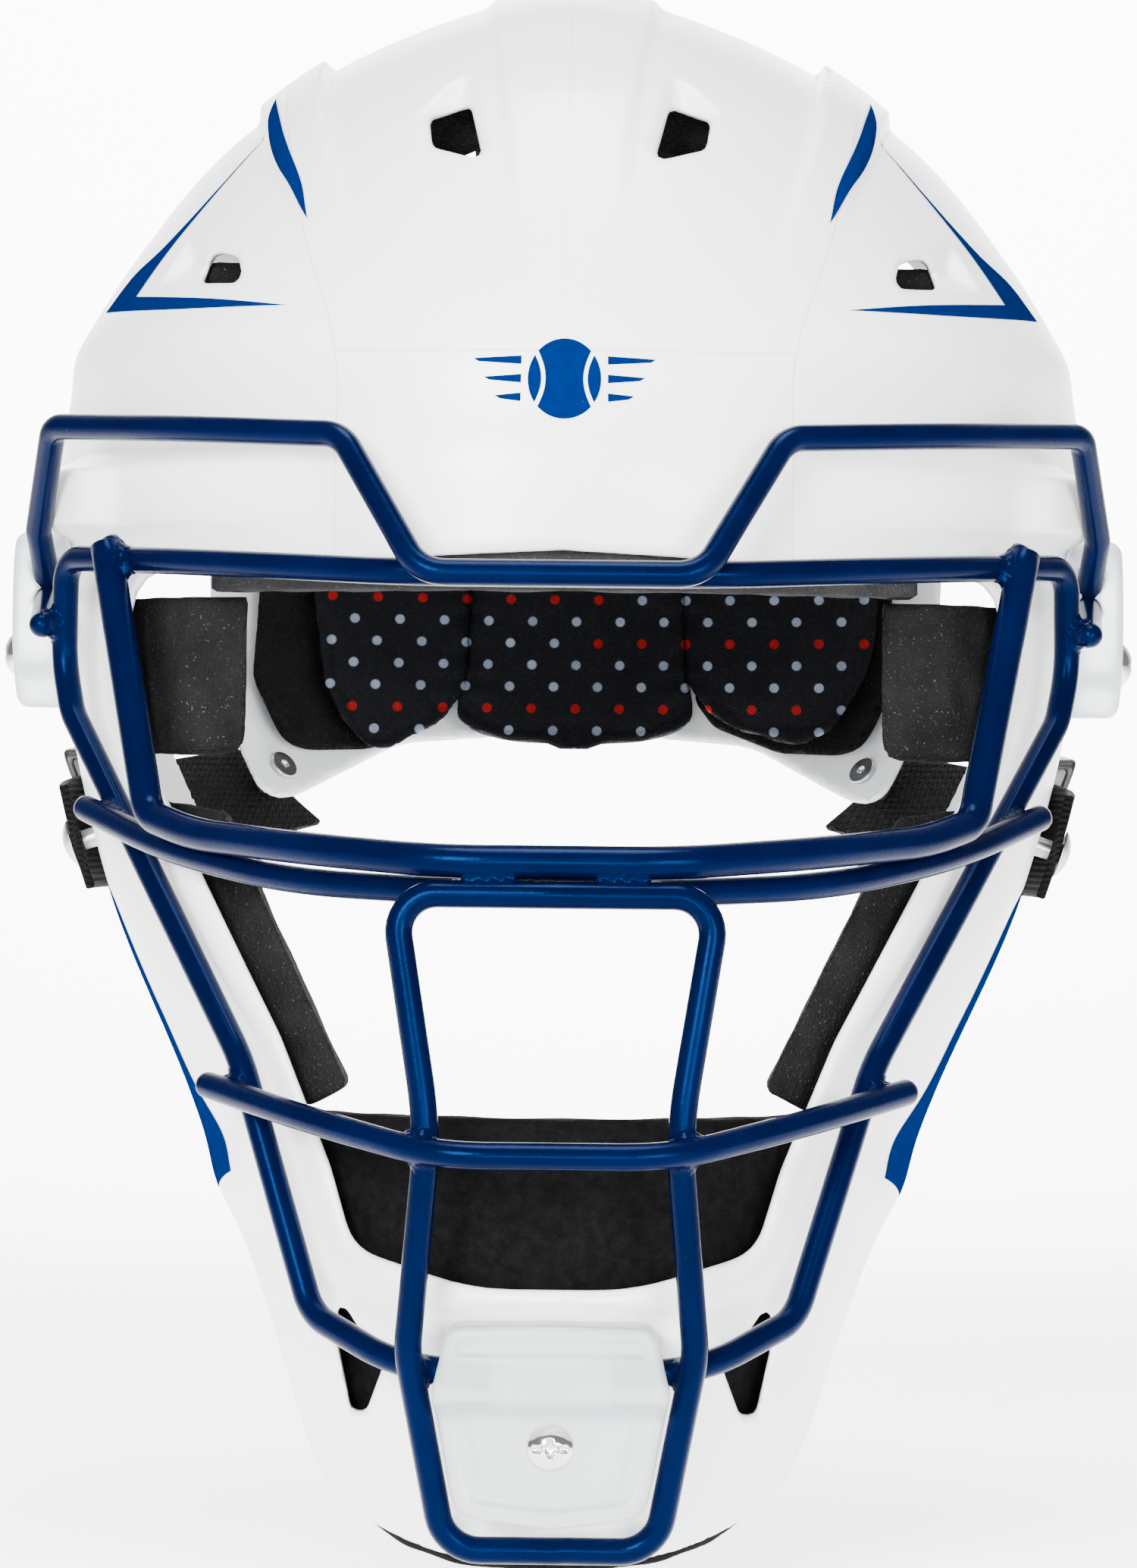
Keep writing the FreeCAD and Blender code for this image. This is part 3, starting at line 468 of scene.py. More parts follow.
class Nodes:
    """A small helper for building a material's node tree."""

    def __init__(self, name):
        self.material = bpy.data.materials.new(name)
        self.material.use_nodes = True
        self.tree = self.material.node_tree
        self.shader = next(n for n in self.tree.nodes if n.type == "BSDF_PRINCIPLED")
        self.place = self.add("ShaderNodeTexCoord").outputs["Object"]

    def add(self, kind, inputs=None, **settings):
        node = self.tree.nodes.new(kind)
        for word, value in settings.items():
            setattr(node, word, value)
        for key, value in (inputs or {}).items():
            self.put(node.inputs[key], value)
        return node

    def put(self, socket, value):
        if isinstance(value, bpy.types.NodeSocket):
            self.tree.links.new(value, socket)
        else:
            socket.default_value = value

    def set(self, **values):
        for word, value in values.items():
            self.put(self.shader.inputs[word.replace("_", " ")], value)

    def math(self, operation, a, b=0.0, c=0.0, clamp=False):
        node = self.add("ShaderNodeMath", {0: a, 1: b, 2: c}, operation=operation, use_clamp=clamp)
        return node.outputs[0]

    def noise(self, scale, detail=3.0, rough=0.5, vector=None):
        node = self.add("ShaderNodeTexNoise", {"Scale": scale, "Detail": detail, "Roughness": rough,
                                               "Vector": vector or self.place})
        return node.outputs["Fac"]

    def ramp(self, value, low, high, to_low=0.0, to_high=1.0):
        node = self.add("ShaderNodeMapRange", {0: value, 1: low, 2: high, 3: to_low, 4: to_high})
        return node.outputs[0]

    def mix(self, factor, first, second):
        node = self.add("ShaderNodeMix", data_type="RGBA")
        self.put(node.inputs[0], factor)
        self.put(node.inputs[6], first)
        self.put(node.inputs[7], second)
        return node.outputs[2]

    def axes(self):
        return self.add("ShaderNodeSeparateXYZ", {0: self.place}).outputs

    def bump(self, height, strength, distance):
        node = self.add("ShaderNodeBump", {"Height": height, "Strength": strength, "Distance": distance})
        self.put(self.shader.inputs["Normal"], node.outputs[0])


def rgb(r, g, b):
    """A linear colour from the eye's 0 to 255 scale."""
    def one(v):
        v /= 255
        return v / 12.92 if v <= 0.04045 else ((v + 0.055) / 1.055) ** 2.4
    return (one(r), one(g), one(b), 1.0)


def line_across(m, points, half_width):
    """1 on a moulding line that crosses each height at the given distance from the mid plane."""
    x, _, z = m.axes()
    heights = [z for _, z in points]
    curve = m.add("ShaderNodeFloatCurve", {1: m.ramp(z, min(heights) * MM, max(heights) * MM)})
    spots = curve.mapping.curves[0].points
    rows = sorted(((h - min(heights)) / (max(heights) - min(heights)), a / 100) for a, h in points)
    spots[0].location, spots[1].location = rows[0], rows[-1]
    for row in rows[1:-1]:
        spots.new(*row)
    curve.mapping.update()
    across = m.math("MULTIPLY", curve.outputs[0], 0.1)
    off = m.math("ABSOLUTE", m.math("SUBTRACT", m.math("ABSOLUTE", x), across))
    line = m.ramp(off, half_width * MM, 0.0)
    return m.math("MULTIPLY", line, m.ramp(z, min(heights) * MM, (min(heights) + 4) * MM))


def shell_material():
    m = Nodes("shell_white")
    grain = m.noise(900.0, 2.0)
    smudge = m.noise(28.0, 4.0, 0.6)
    dust = m.ramp(m.noise(2600.0, 1.0), 0.83, 0.87)
    # Dark lines along the rib edges, the brow crease at 42 mm and the crown's middle line are painted crease shade; the
    # bump also sinks them as shallow grooves.
    seam = line_across(m, [(57.5, 104), (56, 90), (51, 66), (44, 42), (43.6, 20), (43.6, -4)], 0.35)
    x, y, z = m.axes()
    middle = m.math("MULTIPLY", m.ramp(m.math("ABSOLUTE", x), 0.0004, 0.0), m.ramp(z, 0.046, 0.075))
    brow_crease_shade = m.math("MULTIPLY", m.ramp(m.math("ABSOLUTE", m.math("SUBTRACT", z, 0.0420)), 0.00045, 0.0),
                        m.ramp(m.math("ABSOLUTE", x), 0.0448, 0.0440))
    crease_shade_lines = m.math("MAXIMUM", seam, m.math("MULTIPLY", brow_crease_shade, 0.8))
    marks = m.math("ADD", crease_shade_lines, m.math("MULTIPLY", middle, 0.5), clamp=True)
    base = m.mix(m.ramp(smudge, 0.35, 0.75), rgb(240, 241, 242), rgb(235, 237, 238))
    # Painted crease shade: the white darkens towards a warm grey on these lines.
    base = m.mix(m.math("MULTIPLY", marks, 0.5), base, rgb(190, 184, 170))
    base = m.mix(m.math("MULTIPLY", dust, 0.35), base, rgb(150, 148, 140))
    m.set(Base_Color=base, Roughness=m.ramp(smudge, 0.3, 0.8, 0.24, 0.36), Specular_IOR_Level=0.5)
    m.set(Subsurface_Weight=0.06, Subsurface_Radius=(0.4, 0.4, 0.4), Subsurface_Scale=0.004)
    m.bump(m.math("SUBTRACT", m.math("MULTIPLY", grain, 0.12), marks), 0.35, 0.0002)
    return m.material


def blue_paint(name, deep, bright, rough):
    """Sprayed and baked enamel, a little uneven, with specks of dust under it."""
    m = Nodes(name)
    m.set(Specular_Tint=(0.03, 0.25, 0.9, 1.0), Specular_IOR_Level=0.11)
    cloud = m.noise(60.0, 3.0)
    peel = m.noise(1100.0, 2.0)
    speck = m.ramp(m.noise(2100.0, 1.0), 0.80, 0.84)
    chip = m.ramp(m.noise(320.0, 5.0, 0.7), 0.80, 0.82)
    base = m.mix(m.ramp(cloud, 0.3, 0.7), deep, bright)
    base = m.mix(m.math("MULTIPLY", speck, 0.25), base, rgb(60, 95, 160))
    base = m.mix(m.math("MULTIPLY", chip, 0.3), base, rgb(8, 20, 60))
    m.set(Base_Color=base, Roughness=m.ramp(cloud, 0.3, 0.8, rough, rough + 0.1))
    m.bump(m.math("ADD", peel, m.math("MULTIPLY", speck, 0.6)), 0.16, 0.0002)
    return m.material


def decal_material():
    m = Nodes("decal_blue")
    fine = m.noise(500.0, 2.0)
    fleck = m.ramp(m.noise(1500.0, 1.0), 0.78, 0.84)
    m.set(Specular_IOR_Level=0.0)
    base = m.mix(m.ramp(fine, 0.3, 0.7), (0.0, 0.0075, 0.060, 1.0), (0.0, 0.0095, 0.072, 1.0))
    base = m.mix(m.math("MULTIPLY", fleck, 0.3), base, rgb(110, 160, 220))
    m.set(Base_Color=base, Roughness=m.ramp(fine, 0.2, 0.8, 0.16, 0.26))
    m.bump(fine, 0.06, 0.0001)
    return m.material


def frosted_material():
    """Moulded clear plastic with a fine matt skin, milky inside."""
    m = Nodes("clip_frosted")
    cloud = m.noise(90.0, 3.0)
    grain = m.noise(2400.0, 2.0)
    base = m.mix(m.ramp(cloud, 0.3, 0.7), rgb(236, 240, 243), rgb(226, 232, 236))
    m.set(Base_Color=base, Roughness=m.ramp(cloud, 0.2, 0.8, 0.32, 0.42), Transmission_Weight=0.62)
    m.set(Subsurface_Weight=0.25, Subsurface_Radius=(1.0, 1.0, 1.0), Subsurface_Scale=0.005, IOR=1.46)
    m.bump(grain, 0.12, 0.0002)
    return m.material


def foam_material(name, tone, speck_size=1700.0):
    """Cut foam: open cells, a dry sheen and light specks."""
    m = Nodes(name)
    cells = m.add("ShaderNodeTexVoronoi", {"Scale": speck_size, "Vector": m.place}).outputs["Distance"]
    cloud = m.noise(120.0, 4.0)
    speck = m.ramp(m.noise(speck_size * 1.2, 2.0), 0.66, 0.74)
    base = m.mix(m.ramp(cloud, 0.3, 0.7), rgb(tone, tone, tone + 1), rgb(tone + 10, tone + 10, tone + 11))
    base = m.mix(m.math("MULTIPLY", speck, 0.42), base, rgb(105, 105, 105))
    m.set(Base_Color=base, Roughness=m.ramp(cloud, 0.2, 0.8, 0.8, 0.95), Specular_IOR_Level=0.07)
    m.bump(cells, 0.7, 0.0006)
    return m.material


def fleece_material():
    m = Nodes("fleece_black")
    fibre = m.noise(1500.0, 5.0, 0.75)
    tuft = m.noise(420.0, 3.0, 0.6)
    spark = m.ramp(fibre, 0.62, 0.74)
    base = m.mix(m.ramp(tuft, 0.35, 0.7), rgb(7, 7, 8), rgb(17, 17, 18))
    base = m.mix(m.math("MULTIPLY", spark, 0.3), base, rgb(62, 62, 64))
    m.set(Base_Color=base, Roughness=m.ramp(tuft, 0.3, 0.8, 0.85, 0.98), Specular_IOR_Level=0.05)
    m.bump(m.math("ADD", fibre, tuft), 0.8, 0.0009)
    return m.material


def knit_material():
    """Black nylon with a fine twill."""
    m = Nodes("nylon_black")
    x, y, z = m.axes()
    rows = m.math("SINE", m.math("MULTIPLY", m.math("ADD", x, z), 5200.0))
    cross = m.math("SINE", m.math("MULTIPLY", m.math("SUBTRACT", m.math("ADD", x, y), z), 5200.0))
    cloth = m.math("MULTIPLY", rows, cross)
    cloud = m.noise(150.0, 3.0)
    base = m.mix(m.ramp(cloth, -1.0, 1.0), rgb(8, 8, 10), rgb(22, 22, 25))
    m.set(Base_Color=base, Roughness=m.ramp(cloud, 0.2, 0.8, 0.5, 0.68), Specular_IOR_Level=0.12)
    m.bump(cloth, 0.3, 0.0003)
    return m.material


def webbing_material():
    m = Nodes("webbing_black")
    x, y, z = m.axes()
    along = m.math("ADD", y, m.math("MULTIPLY", x, 0.35))
    ribs = m.math("SINE", m.math("MULTIPLY", along, 3300.0))
    weft = m.math("SINE", m.math("ADD", m.math("MULTIPLY", z, 5200.0), m.math("MULTIPLY", ribs, 1.2)))
    cloth = m.math("MULTIPLY", ribs, weft)
    fuzz = m.noise(900.0, 3.0)
    base = m.mix(m.ramp(cloth, -1.0, 1.0), rgb(4, 4, 5), rgb(20, 20, 22))
    base = m.mix(m.ramp(fuzz, 0.68, 0.78, 0.0, 0.25), base, rgb(60, 60, 63))
    m.set(Base_Color=base, Roughness=m.ramp(fuzz, 0.2, 0.8, 0.6, 0.8), Specular_IOR_Level=0.08)
    m.bump(cloth, 0.8, 0.0006)
    return m.material


def liner_material():
    """Black knit with small dots on a plain diagonal grid, pale and red."""
    m = Nodes("liner_print")
    x, y, z = m.axes()
    pitch, dot = 0.0095, 0.0010
    size = 2 * (dot / pitch) ** 2
    cells, reach = [], None
    for across in (m.math("ADD", x, z), m.math("SUBTRACT", x, z)):
        place = m.math("DIVIDE", across, pitch)
        off = m.math("SUBTRACT", m.math("FRACT", place), 0.5)
        square = m.math("MULTIPLY", off, off)
        reach = square if reach is None else m.math("ADD", reach, square)
        cells.append(m.math("FLOOR", place))
    mark = m.ramp(reach, size * 1.3, size * 0.7)
    pick = m.math("FRACT", m.math("ADD", m.math("MULTIPLY", cells[0], 0.37), m.math("MULTIPLY", cells[1], 0.61)))
    is_red = m.math("LESS_THAN", pick, 0.25)
    red = m.math("MULTIPLY", mark, is_red)
    white = m.math("SUBTRACT", mark, red)
    knit = m.math("MULTIPLY", m.math("SINE", m.math("MULTIPLY", x, 7500.0)),
                  m.math("SINE", m.math("MULTIPLY", z, 7500.0)))
    cloud = m.noise(100.0, 3.0)
    base = m.mix(m.ramp(knit, -1.0, 1.0), rgb(6, 7, 9), rgb(15, 16, 20))
    base = m.mix(m.math("MULTIPLY", white, m.ramp(cloud, 0.2, 0.6, 0.6, 0.9)), base, rgb(118, 130, 146))
    base = m.mix(m.math("MULTIPLY", red, 0.85), base, rgb(128, 12, 15))
    m.set(Base_Color=base, Roughness=m.ramp(cloud, 0.2, 0.8, 0.62, 0.78), Specular_IOR_Level=0.08)
    m.bump(knit, 0.35, 0.0003)
    return m.material


def metal_material(name, colour, low, high):
    m = Nodes(name)
    scratch = m.noise(300.0, 6.0, 0.7)
    m.set(Base_Color=m.mix(m.ramp(scratch, 0.3, 0.7), colour, tuple(c * 0.85 for c in colour[:3]) + (1.0,)),
          Metallic=1.0, Roughness=m.ramp(scratch, 0.3, 0.7, low, high))
    m.bump(scratch, 0.05, 0.0001)
    return m.material


def plastic_material(name, first, second, rough):
    m = Nodes(name)
    cloud = m.noise(200.0, 4.0)
    grain = m.noise(1800.0, 2.0)
    m.set(Base_Color=m.mix(m.ramp(cloud, 0.3, 0.7), first, second), Roughness=m.ramp(cloud, 0.2, 0.8, rough, rough + 0.12))
    m.bump(grain, 0.2, 0.0002)
    return m.material


SHELL = shell_material()
CAGE = blue_paint("cage_blue", (0.0, 0.0013, 0.014, 1.0), (0.0, 0.0018, 0.019, 1.0), 0.2)
DECAL = decal_material()
FROSTED = frosted_material()
FOAM = foam_material("foam_black", 15)
FOAM_SMOOTH = foam_material("foam_skin", 8, 3200.0)
FOAM_GREY = foam_material("foam_grey", 38, 1500.0)
FLEECE = fleece_material()
NYLON = knit_material()
WEBBING = webbing_material()
LINER_PRINT = liner_material()
CHROME = metal_material("screw_chrome", (0.82, 0.81, 0.80, 1.0), 0.06, 0.16)
STEEL = metal_material("fastener_steel", (0.55, 0.55, 0.57, 1.0), 0.25, 0.4)
BLACK_PLASTIC = plastic_material("slider_black", rgb(14, 14, 15), rgb(24, 24, 26), 0.38)
PLATE = plastic_material("plate_white", rgb(232, 235, 237), rgb(224, 228, 231), 0.4)
FRINGE = plastic_material("fringe_white", rgb(225, 225, 225), rgb(150, 150, 155), 0.8)


# ---------------------------------------------------------------- bars

def bent(rows, per_arc=10, spacing=3.0):
    """Points along straight runs joined by tangent arcs; a bend of 0 takes the largest that fits."""
    points = [Vector(row[:3]) for row in rows]
    out = [points[0]]
    for i in range(1, len(points) - 1):
        here = points[i]
        back, ahead = points[i - 1] - here, points[i + 1] - here
        half = (math.pi - back.angle(ahead)) / 2
        room = 0.45 * min(back.length, ahead.length)
        trim = min(rows[i][3] * math.tan(half), room) if rows[i][3] else room
        if half < 1e-3:
            continue
        radius = trim / math.tan(half)
        centre = here + (back.normalized() + ahead.normalized()).normalized() * (radius / math.cos(half))
        start, end = here + back.normalized() * trim - centre, here + ahead.normalized() * trim - centre
        whole = 2 * half
        for t in np.linspace(0, 1, per_arc):
            out.append(centre + (start * math.sin((1 - t) * whole) + end * math.sin(t * whole)) / math.sin(whole))
    out.append(points[-1])
    fine = [out[0]]
    for a, b in zip(out, out[1:]):
        steps = max(1, int((b - a).length / spacing))
        fine += [a.lerp(b, (k + 1) / steps) for k in range(steps)]
    return [p for i, p in enumerate(fine) if i == 0 or (p - fine[i - 1]).length > 1e-3]


def bar(name, path, radius, cap, **how):
    """A round bar along a path, with round or flat ends or closed into a ring."""
    sides = 28
    closed = cap == "ring"
    tangents = []
    for i in range(len(path)):
        before = path[i - 1] if (i or closed) else path[0]
        after = path[(i + 1) % len(path)] if (i + 1 < len(path) or closed) else path[-1]
        tangents.append((after - before).normalized())
    side = tangents[0].orthogonal().normalized()
    frames = []
    for tangent in tangents:
        side = (side - tangent * side.dot(tangent)).normalized()
        frames.append((side, tangent.cross(side)))
    rings = [(p, f, radius) for p, f in zip(path, frames)]
    if cap == "round":
        for end, sign in ((0, -1), (-1, 1)):
            p, f, t = path[end], frames[end], tangents[end]
            extra = [(p + t * sign * radius * math.sin(a), f, radius * max(math.cos(a), 0.02))
                     for a in np.linspace(0.2, math.pi / 2, 6)]
            rings = rings + extra if sign > 0 else extra[::-1] + rings
    if cap == "flat":
        for end, sign in ((0, -1), (-1, 1)):
            p, f, t = path[end], frames[end], tangents[end]
            extra = [(p + t * sign * 0.25, f, radius - 0.25), (p + t * sign * 0.3, f, radius * 0.4)]
            rings = rings + extra if sign > 0 else extra[::-1] + rings
    angles = np.linspace(0, 2 * math.pi, sides, endpoint=False)
    points = [tuple(p + f[0] * (r * math.cos(a)) + f[1] * (r * math.sin(a))) for p, f, r in rings for a in angles]
    count = len(rings) if closed else len(rings) - 1
    faces = []
    for i in range(count):
        j = (i + 1) % len(rings)
        for k in range(sides):
            m = (k + 1) % sides
            faces.append((i * sides + k, i * sides + m, j * sides + m, j * sides + k))
    mesh = mesh_of(name, points, faces)
    return link(name, mesh, **how)


def two_sided(rows):
    """The whole wire's points from those of its +X half."""
    half = bent(rows)
    other = [Vector((-p.x, p.y, p.z)) for p in half[::-1]]
    return other[:-1] + half


PATHS = {name: two_sided(rows) for name, rows in WIRES.items()}


def build_cage():
    for name, rows in WIRES.items():
        radius = EYE_WIRE if name == "eye_frame_wire" else WIRE
        path = PATHS[name]
        if name in ("perimeter_wire", "center_loop_wire"):
            path, cap = path[:-1], "ring"
        else:
            cap = "round" if name in ROUND_ENDED else "flat"
        bar(f"{name}_bar", path, radius, cap, body="mask", slot="cage_blue", material=CAGE, stands_for=(name,))
    for side, word in ((1, "left"), (-1, "right")):
        path = [Vector((side * p.x, p.y, p.z)) for p in bent(STUB)]
        bar(f"clip_stub_{word}_bar", path, STUB_WIRE, "round", body="mask", slot="cage_blue", material=CAGE,
            stands_for=(f"clip_stub_{word}",))
    build_welds()


def nearest_pair(first, second):
    """The gap between two paths on the +X side, and the point midway between their closest points."""
    a = np.array([tuple(p) for p in first if p.x > -0.1])
    b = np.array([tuple(p) for p in second if p.x > -0.1])
    gap = np.linalg.norm(a[:, None] - b[None], axis=2)
    i, j = np.unravel_index(gap.argmin(), gap.shape)
    return gap[i, j], (a[i] + b[j]) / 2


def polyline_distance(p, path):
    best = np.full(len(p), 1e9)
    for a, b in zip(path, path[1:]):
        a, b = np.array(a), np.array(b)
        e = b - a
        t = np.clip((p - a) @ e / max(e @ e, 1e-9), 0, 1)
        best = np.minimum(best, np.linalg.norm(p - a - t[:, None] * e, axis=1))
    return best


def build_welds():
    """A small uneven fillet of weld metal at each crossing of two wires."""
    wires = dict(PATHS)
    wires["stub"] = bent(STUB)
    names = list(wires)
    spots = []
    for i, first in enumerate(names):
        for second in names[i + 1:]:
            if {first, second} == {"stub", "brow_wire"} or {first[:5], second[:5]} == {"eye_f", "lower"}:
                continue
            gap, spot = nearest_pair(wires[first], wires[second])
            if gap < 8.2:
                spots.append((first, second, spot))
    for number, (first, second, spot) in enumerate(spots):
        near = [[p for p in wires[n] if (np.linalg.norm(np.array(p) - spot) < 16)] for n in (first, second)]
        radii = [EYE_WIRE if n == "eye_frame_wire" else WIRE for n in (first, second)]

        def weld(p, near=near, radii=radii, spot=spot):
            lumps = 0.28 * np.sin(p[:, 0] * 2.3) * np.sin(p[:, 1] * 2.9 + 1) * np.sin(p[:, 2] * 2.6 + 2)
            first_bar = polyline_distance(p, near[0]) - radii[0] + 0.12
            second_bar = polyline_distance(p, near[1]) - radii[1] + 0.12
            ball = np.linalg.norm(p - spot, axis=1) - 5.2
            return meet(join(first_bar, second_bar, 3.0) - lumps * 0.5, ball, 0.6)

        piece = carve(f"weld_{number}_left", weld, spot - 6.2, spot + 6.2, 0.45, body="mask", slot="cage_blue",
                      material=CAGE)
        if spot[0] > 3:
            link(f"weld_{number}_right", mirrored_mesh(piece.data, f"weld_{number}_right"), body="mask",
                 slot="cage_blue")


# ---------------------------------------------------------------- clips and fasteners

def side_clip_field(p):
    x, y, z = p[:, 0], p[:, 1], p[:, 2]
    edge = polygon_distance(y, z, CLIP_PLAN)
    face = x - 111.0 + 0.05 * np.hypot(y + 28, z + 8) + 0.9 * fade(edge, -3.2, -4.2) * fade(z, -6, -4)
    plate = meet(edge, face, 3.0)
    plate = meet(plate, -(skin(p) - 0.2), 0.8)
    for path, radius in ((bent(STUB), STUB_WIRE), (PATHS["brow_wire"][-14:], WIRE)):
        plate = meet(plate, -(polyline_distance(p, path) - radius - 0.15), 0.5)
    return meet(plate, -(np.hypot(y + 28, z + 15) - 2.3), 0.4)


def chin_clip_field(p):
    x, y, z = p[:, 0], p[:, 1], p[:, 2]
    edge = polygon_distance(x, z, CHIN_PLAN)
    bow = 0.0035 * x * x
    front = -165.4 + bow + fade(z, -152.5, -157.5) * 6.6
    panel = fade(edge, -2.6, -4.0) * fade(z, -153, -156)
    inner = fade(edge, -5.2, -6.2) * fade(z, -155, -157)
    top_dish = fade(edge, -2.0, -3.2) * fade(z, -145.5, -143.8)
    solid = meet(edge, front - y - 0.4 + 0.8 * panel + 0.7 * top_dish - 0.5 * inner, 1.8)
    solid = meet(solid, -(skin(p) - 0.3), 0.8)
    solid = meet(solid, -(polyline_distance(p, PATHS["perimeter_wire"][:6] + PATHS["perimeter_wire"][-6:]) - WIRE - 0.1), 0.4)
    return meet(solid, -(np.hypot(x, z + 162) - 2.3), 0.4)


def screw_field(p, length):
    """A truss head with a slot and a cross recess, seen along +Z."""
    r = np.hypot(p[:, 0], p[:, 1])
    z = p[:, 2]
    ball = np.hypot(r, z - (2.6 - 5.6)) - 5.6
    head = meet(meet(ball, r - 4.6, 0.3), -z, 0.2)
    shank = meet(r - 1.98, np.maximum(z - 0.5, -z - length), 0.3)
    solid = np.minimum(head, shank)
    slot = np.maximum(np.abs(p[:, 1]) - 0.5, np.abs(p[:, 0]) - 3.4)
    cross = np.minimum(np.maximum(np.abs(p[:, 0]) - 0.55, np.abs(p[:, 1]) - 1.9),
                       np.maximum(np.abs(p[:, 1]) - 0.55, np.abs(p[:, 0]) - 1.9))
    cross = join(cross, r - 1.1, 0.4)
    solid = meet(solid, -np.maximum(slot, 1.5 - z), 0.15)
    return meet(solid, -np.maximum(cross + (2.4 - z) * 0.25, 0.9 - z), 0.15)


def rivet_field(p):
    """A domed head above 0, its shank, and a rolled tail 9.7 below."""
    r = np.hypot(p[:, 0], p[:, 1])
    z = p[:, 2]
    dome = (5.0**2 + 2.0**2) / (2 * 2.0)
    head = meet(meet(np.hypot(r, z - (2.0 - dome)) - dome, r - 5.0, 0.3), -z, 0.3)
    shank = np.maximum(r - 1.98, np.maximum(z - 0.3, -z - 10.2))
    tail = meet(r - 3.2, np.abs(z + 9.95) - 0.5, 0.3)
    dimple = -(np.hypot(r, z + 10.6) - 0.9)
    return meet(np.minimum(np.minimum(head, shank), tail), dimple, 0.2)


def nut_field(p):
    r = np.hypot(p[:, 0], p[:, 1])
    z = p[:, 2]
    flange = meet(r - 6.4, np.abs(z + 0.6) - 0.6, 0.3)
    barrel = meet(r - 3.2, np.abs(z + 2.0) - 2.0, 0.3)
    return meet(np.minimum(flange, barrel), -(r - 2.06), 0.15)


def stood(mesh, name, spot, normal):
    """A copy of a mesh moved so that its Z axis leaves a spot along a normal, both in millimetres."""
    copy = mesh.copy()
    copy.name = name
    turn = Vector((0, 0, 1)).rotation_difference(Vector(normal)).to_matrix().to_4x4()
    copy.transform(Matrix.Translation(Vector(spot) * MM) @ turn)
    return copy


def carve_mesh(name, field, low, high, cell):
    low, high = np.array(low, float) - 3 * cell, np.array(high, float) + 3 * cell
    points, quads = surface_net(grid_values(field, low, high, cell), low, cell)
    return mesh_of(name, settle(field, points), quads)


def surface_spot(x, y, z):
    """The nearest point of the plain form to a point, and the normal there."""
    p = np.array([[x, y, z]], float)
    for _ in range(6):
        slope = gradient(form, p)
        p = p - form(p)[:, None] * slope / (slope**2).sum(1, keepdims=True)
    slope = gradient(form, p)[0]
    return p[0], slope / np.linalg.norm(slope)


def build_fasteners():
    screw = carve_mesh("screw", lambda p: screw_field(p, 17.0), (-5, -5, -17.5), (5, 5, 3), 0.28)
    nut = carve_mesh("nut", nut_field, (-7, -7, -4.5), (7, 7, 0.5), 0.4)
    rivet = carve_mesh("rivet", rivet_field, (-5.5, -5.5, -11), (5.5, 5.5, 2.5), 0.3)
    steel = dict(body="mask", slot="fastener_steel", material=STEEL)
    chrome = dict(body="mask", slot="screw_chrome", material=CHROME)
    for side, word in ((1, "left"), (-1, "right")):
        name = f"clip_screw_{word}"
        link(name, stood(screw, name, (side * 110.4, -28, -15), (side, 0, 0)), stands_for=("clip_screws",), **chrome)
        inner, _ = surface_spot(104, -28, -15)
        name = f"clip_nut_{word}"
        link(name, stood(nut, name, (side * (inner[0] - WALL - 0.6), -28, -15), (side, 0, 0)),
             stands_for=("clip_nuts",), **steel)
    link("chin_screw_head", stood(screw, "chin_screw_head", (0, -158.5, -162), (0, -1, 0)),
         stands_for=("chin_screw",), **chrome)
    link("chin_nut_body", stood(nut, "chin_nut_body", (0, -144.3, -162), (0, -1, 0)), stands_for=("chin_nut",), **steel)
    for node, spot in RIVET_SPOTS.items():
        at, normal = surface_spot(*spot)
        head = at + normal * (STRAP_LIFT + STRAP_THICKNESS + 0.3)
        body = "back_plate" if "plate" in node else "mask"
        for side, word in ((1, "left"), (-1, "right")):
            name = f"{node}_{word}"
            turned = (side * head[0], head[1], head[2]), (side * normal[0], normal[1], normal[2])
            link(name, stood(rivet, name, *turned), stands_for=(f"{node}_rivets",), body=body,
                 slot="fastener_steel", material=STEEL)


RIVET_SPOTS = {
    "strap_anchor": (93.0, -24.0, -51.0), "strap_plate": (63.0, 70.0, -38.0),
    "top_front_anchor": (10.0, 48.0, 112.0), "top_plate_anchor": (10.0, 100.0, 74.0),
}


def build_clips():
    how = dict(body="mask", slot="clip_frosted", material=FROSTED)
    left = carve("side_clip_left_body", side_clip_field, (92, -46, -28), (113, -13, 12), 0.6,
                 stands_for=("side_clip_left",), **how)
    link("side_clip_right_body", mirrored_mesh(left.data, "side_clip_right_body"), body="mask", slot="clip_frosted",
         stands_for=("side_clip_right",))
    carve("chin_clip_body", chin_clip_field, (-23, -167, -179), (23, -145, -137), 0.6,
          stands_for=("chin_clip",), **how)


# ---------------------------------------------------------------- pads

def pad_between(p, region, outside, inside, soft):
    """A pad: the liner between two depths inside the form, held to a region, with round edges."""
    plain = form(p)
    return meet(meet(plain + outside, -(plain + inside), soft), region, soft)


def box_region(p, low, high):
    middle, half = (np.array(low) + high) / 2, (np.array(high, float) - low) / 2
    q = np.abs(p - middle) - half
    return np.linalg.norm(np.maximum(q, 0), axis=1) + np.minimum(q.max(1), 0)


def foam_pad(name, region, low, high, soft=1.6, cell=1.3, inside=PAD_DEPTH, body="mask", slot="foam_black",
             material=None, both=True):
    """A pad carved on the +X side and mirrored, or carved whole."""
    def field(p):
        wobble = 0.25 * np.sin(p[:, 0] * 0.31 + 1) * np.sin(p[:, 1] * 0.27) * np.sin(p[:, 2] * 0.29 + 2)
        return pad_between(p, region(p), LINER, inside, soft) + wobble
    first = f"{name}_left" if both else name
    piece = carve(f"{first}_foam", field, low, high, cell, body=body, slot=slot, material=material or FOAM,
                  stands_for=(first,))
    if both:
        other = link(f"{name}_right_foam", mirrored_mesh(piece.data, f"{name}_right_foam"), body=body, slot=slot,
                     stands_for=(f"{name}_right",))
    return piece


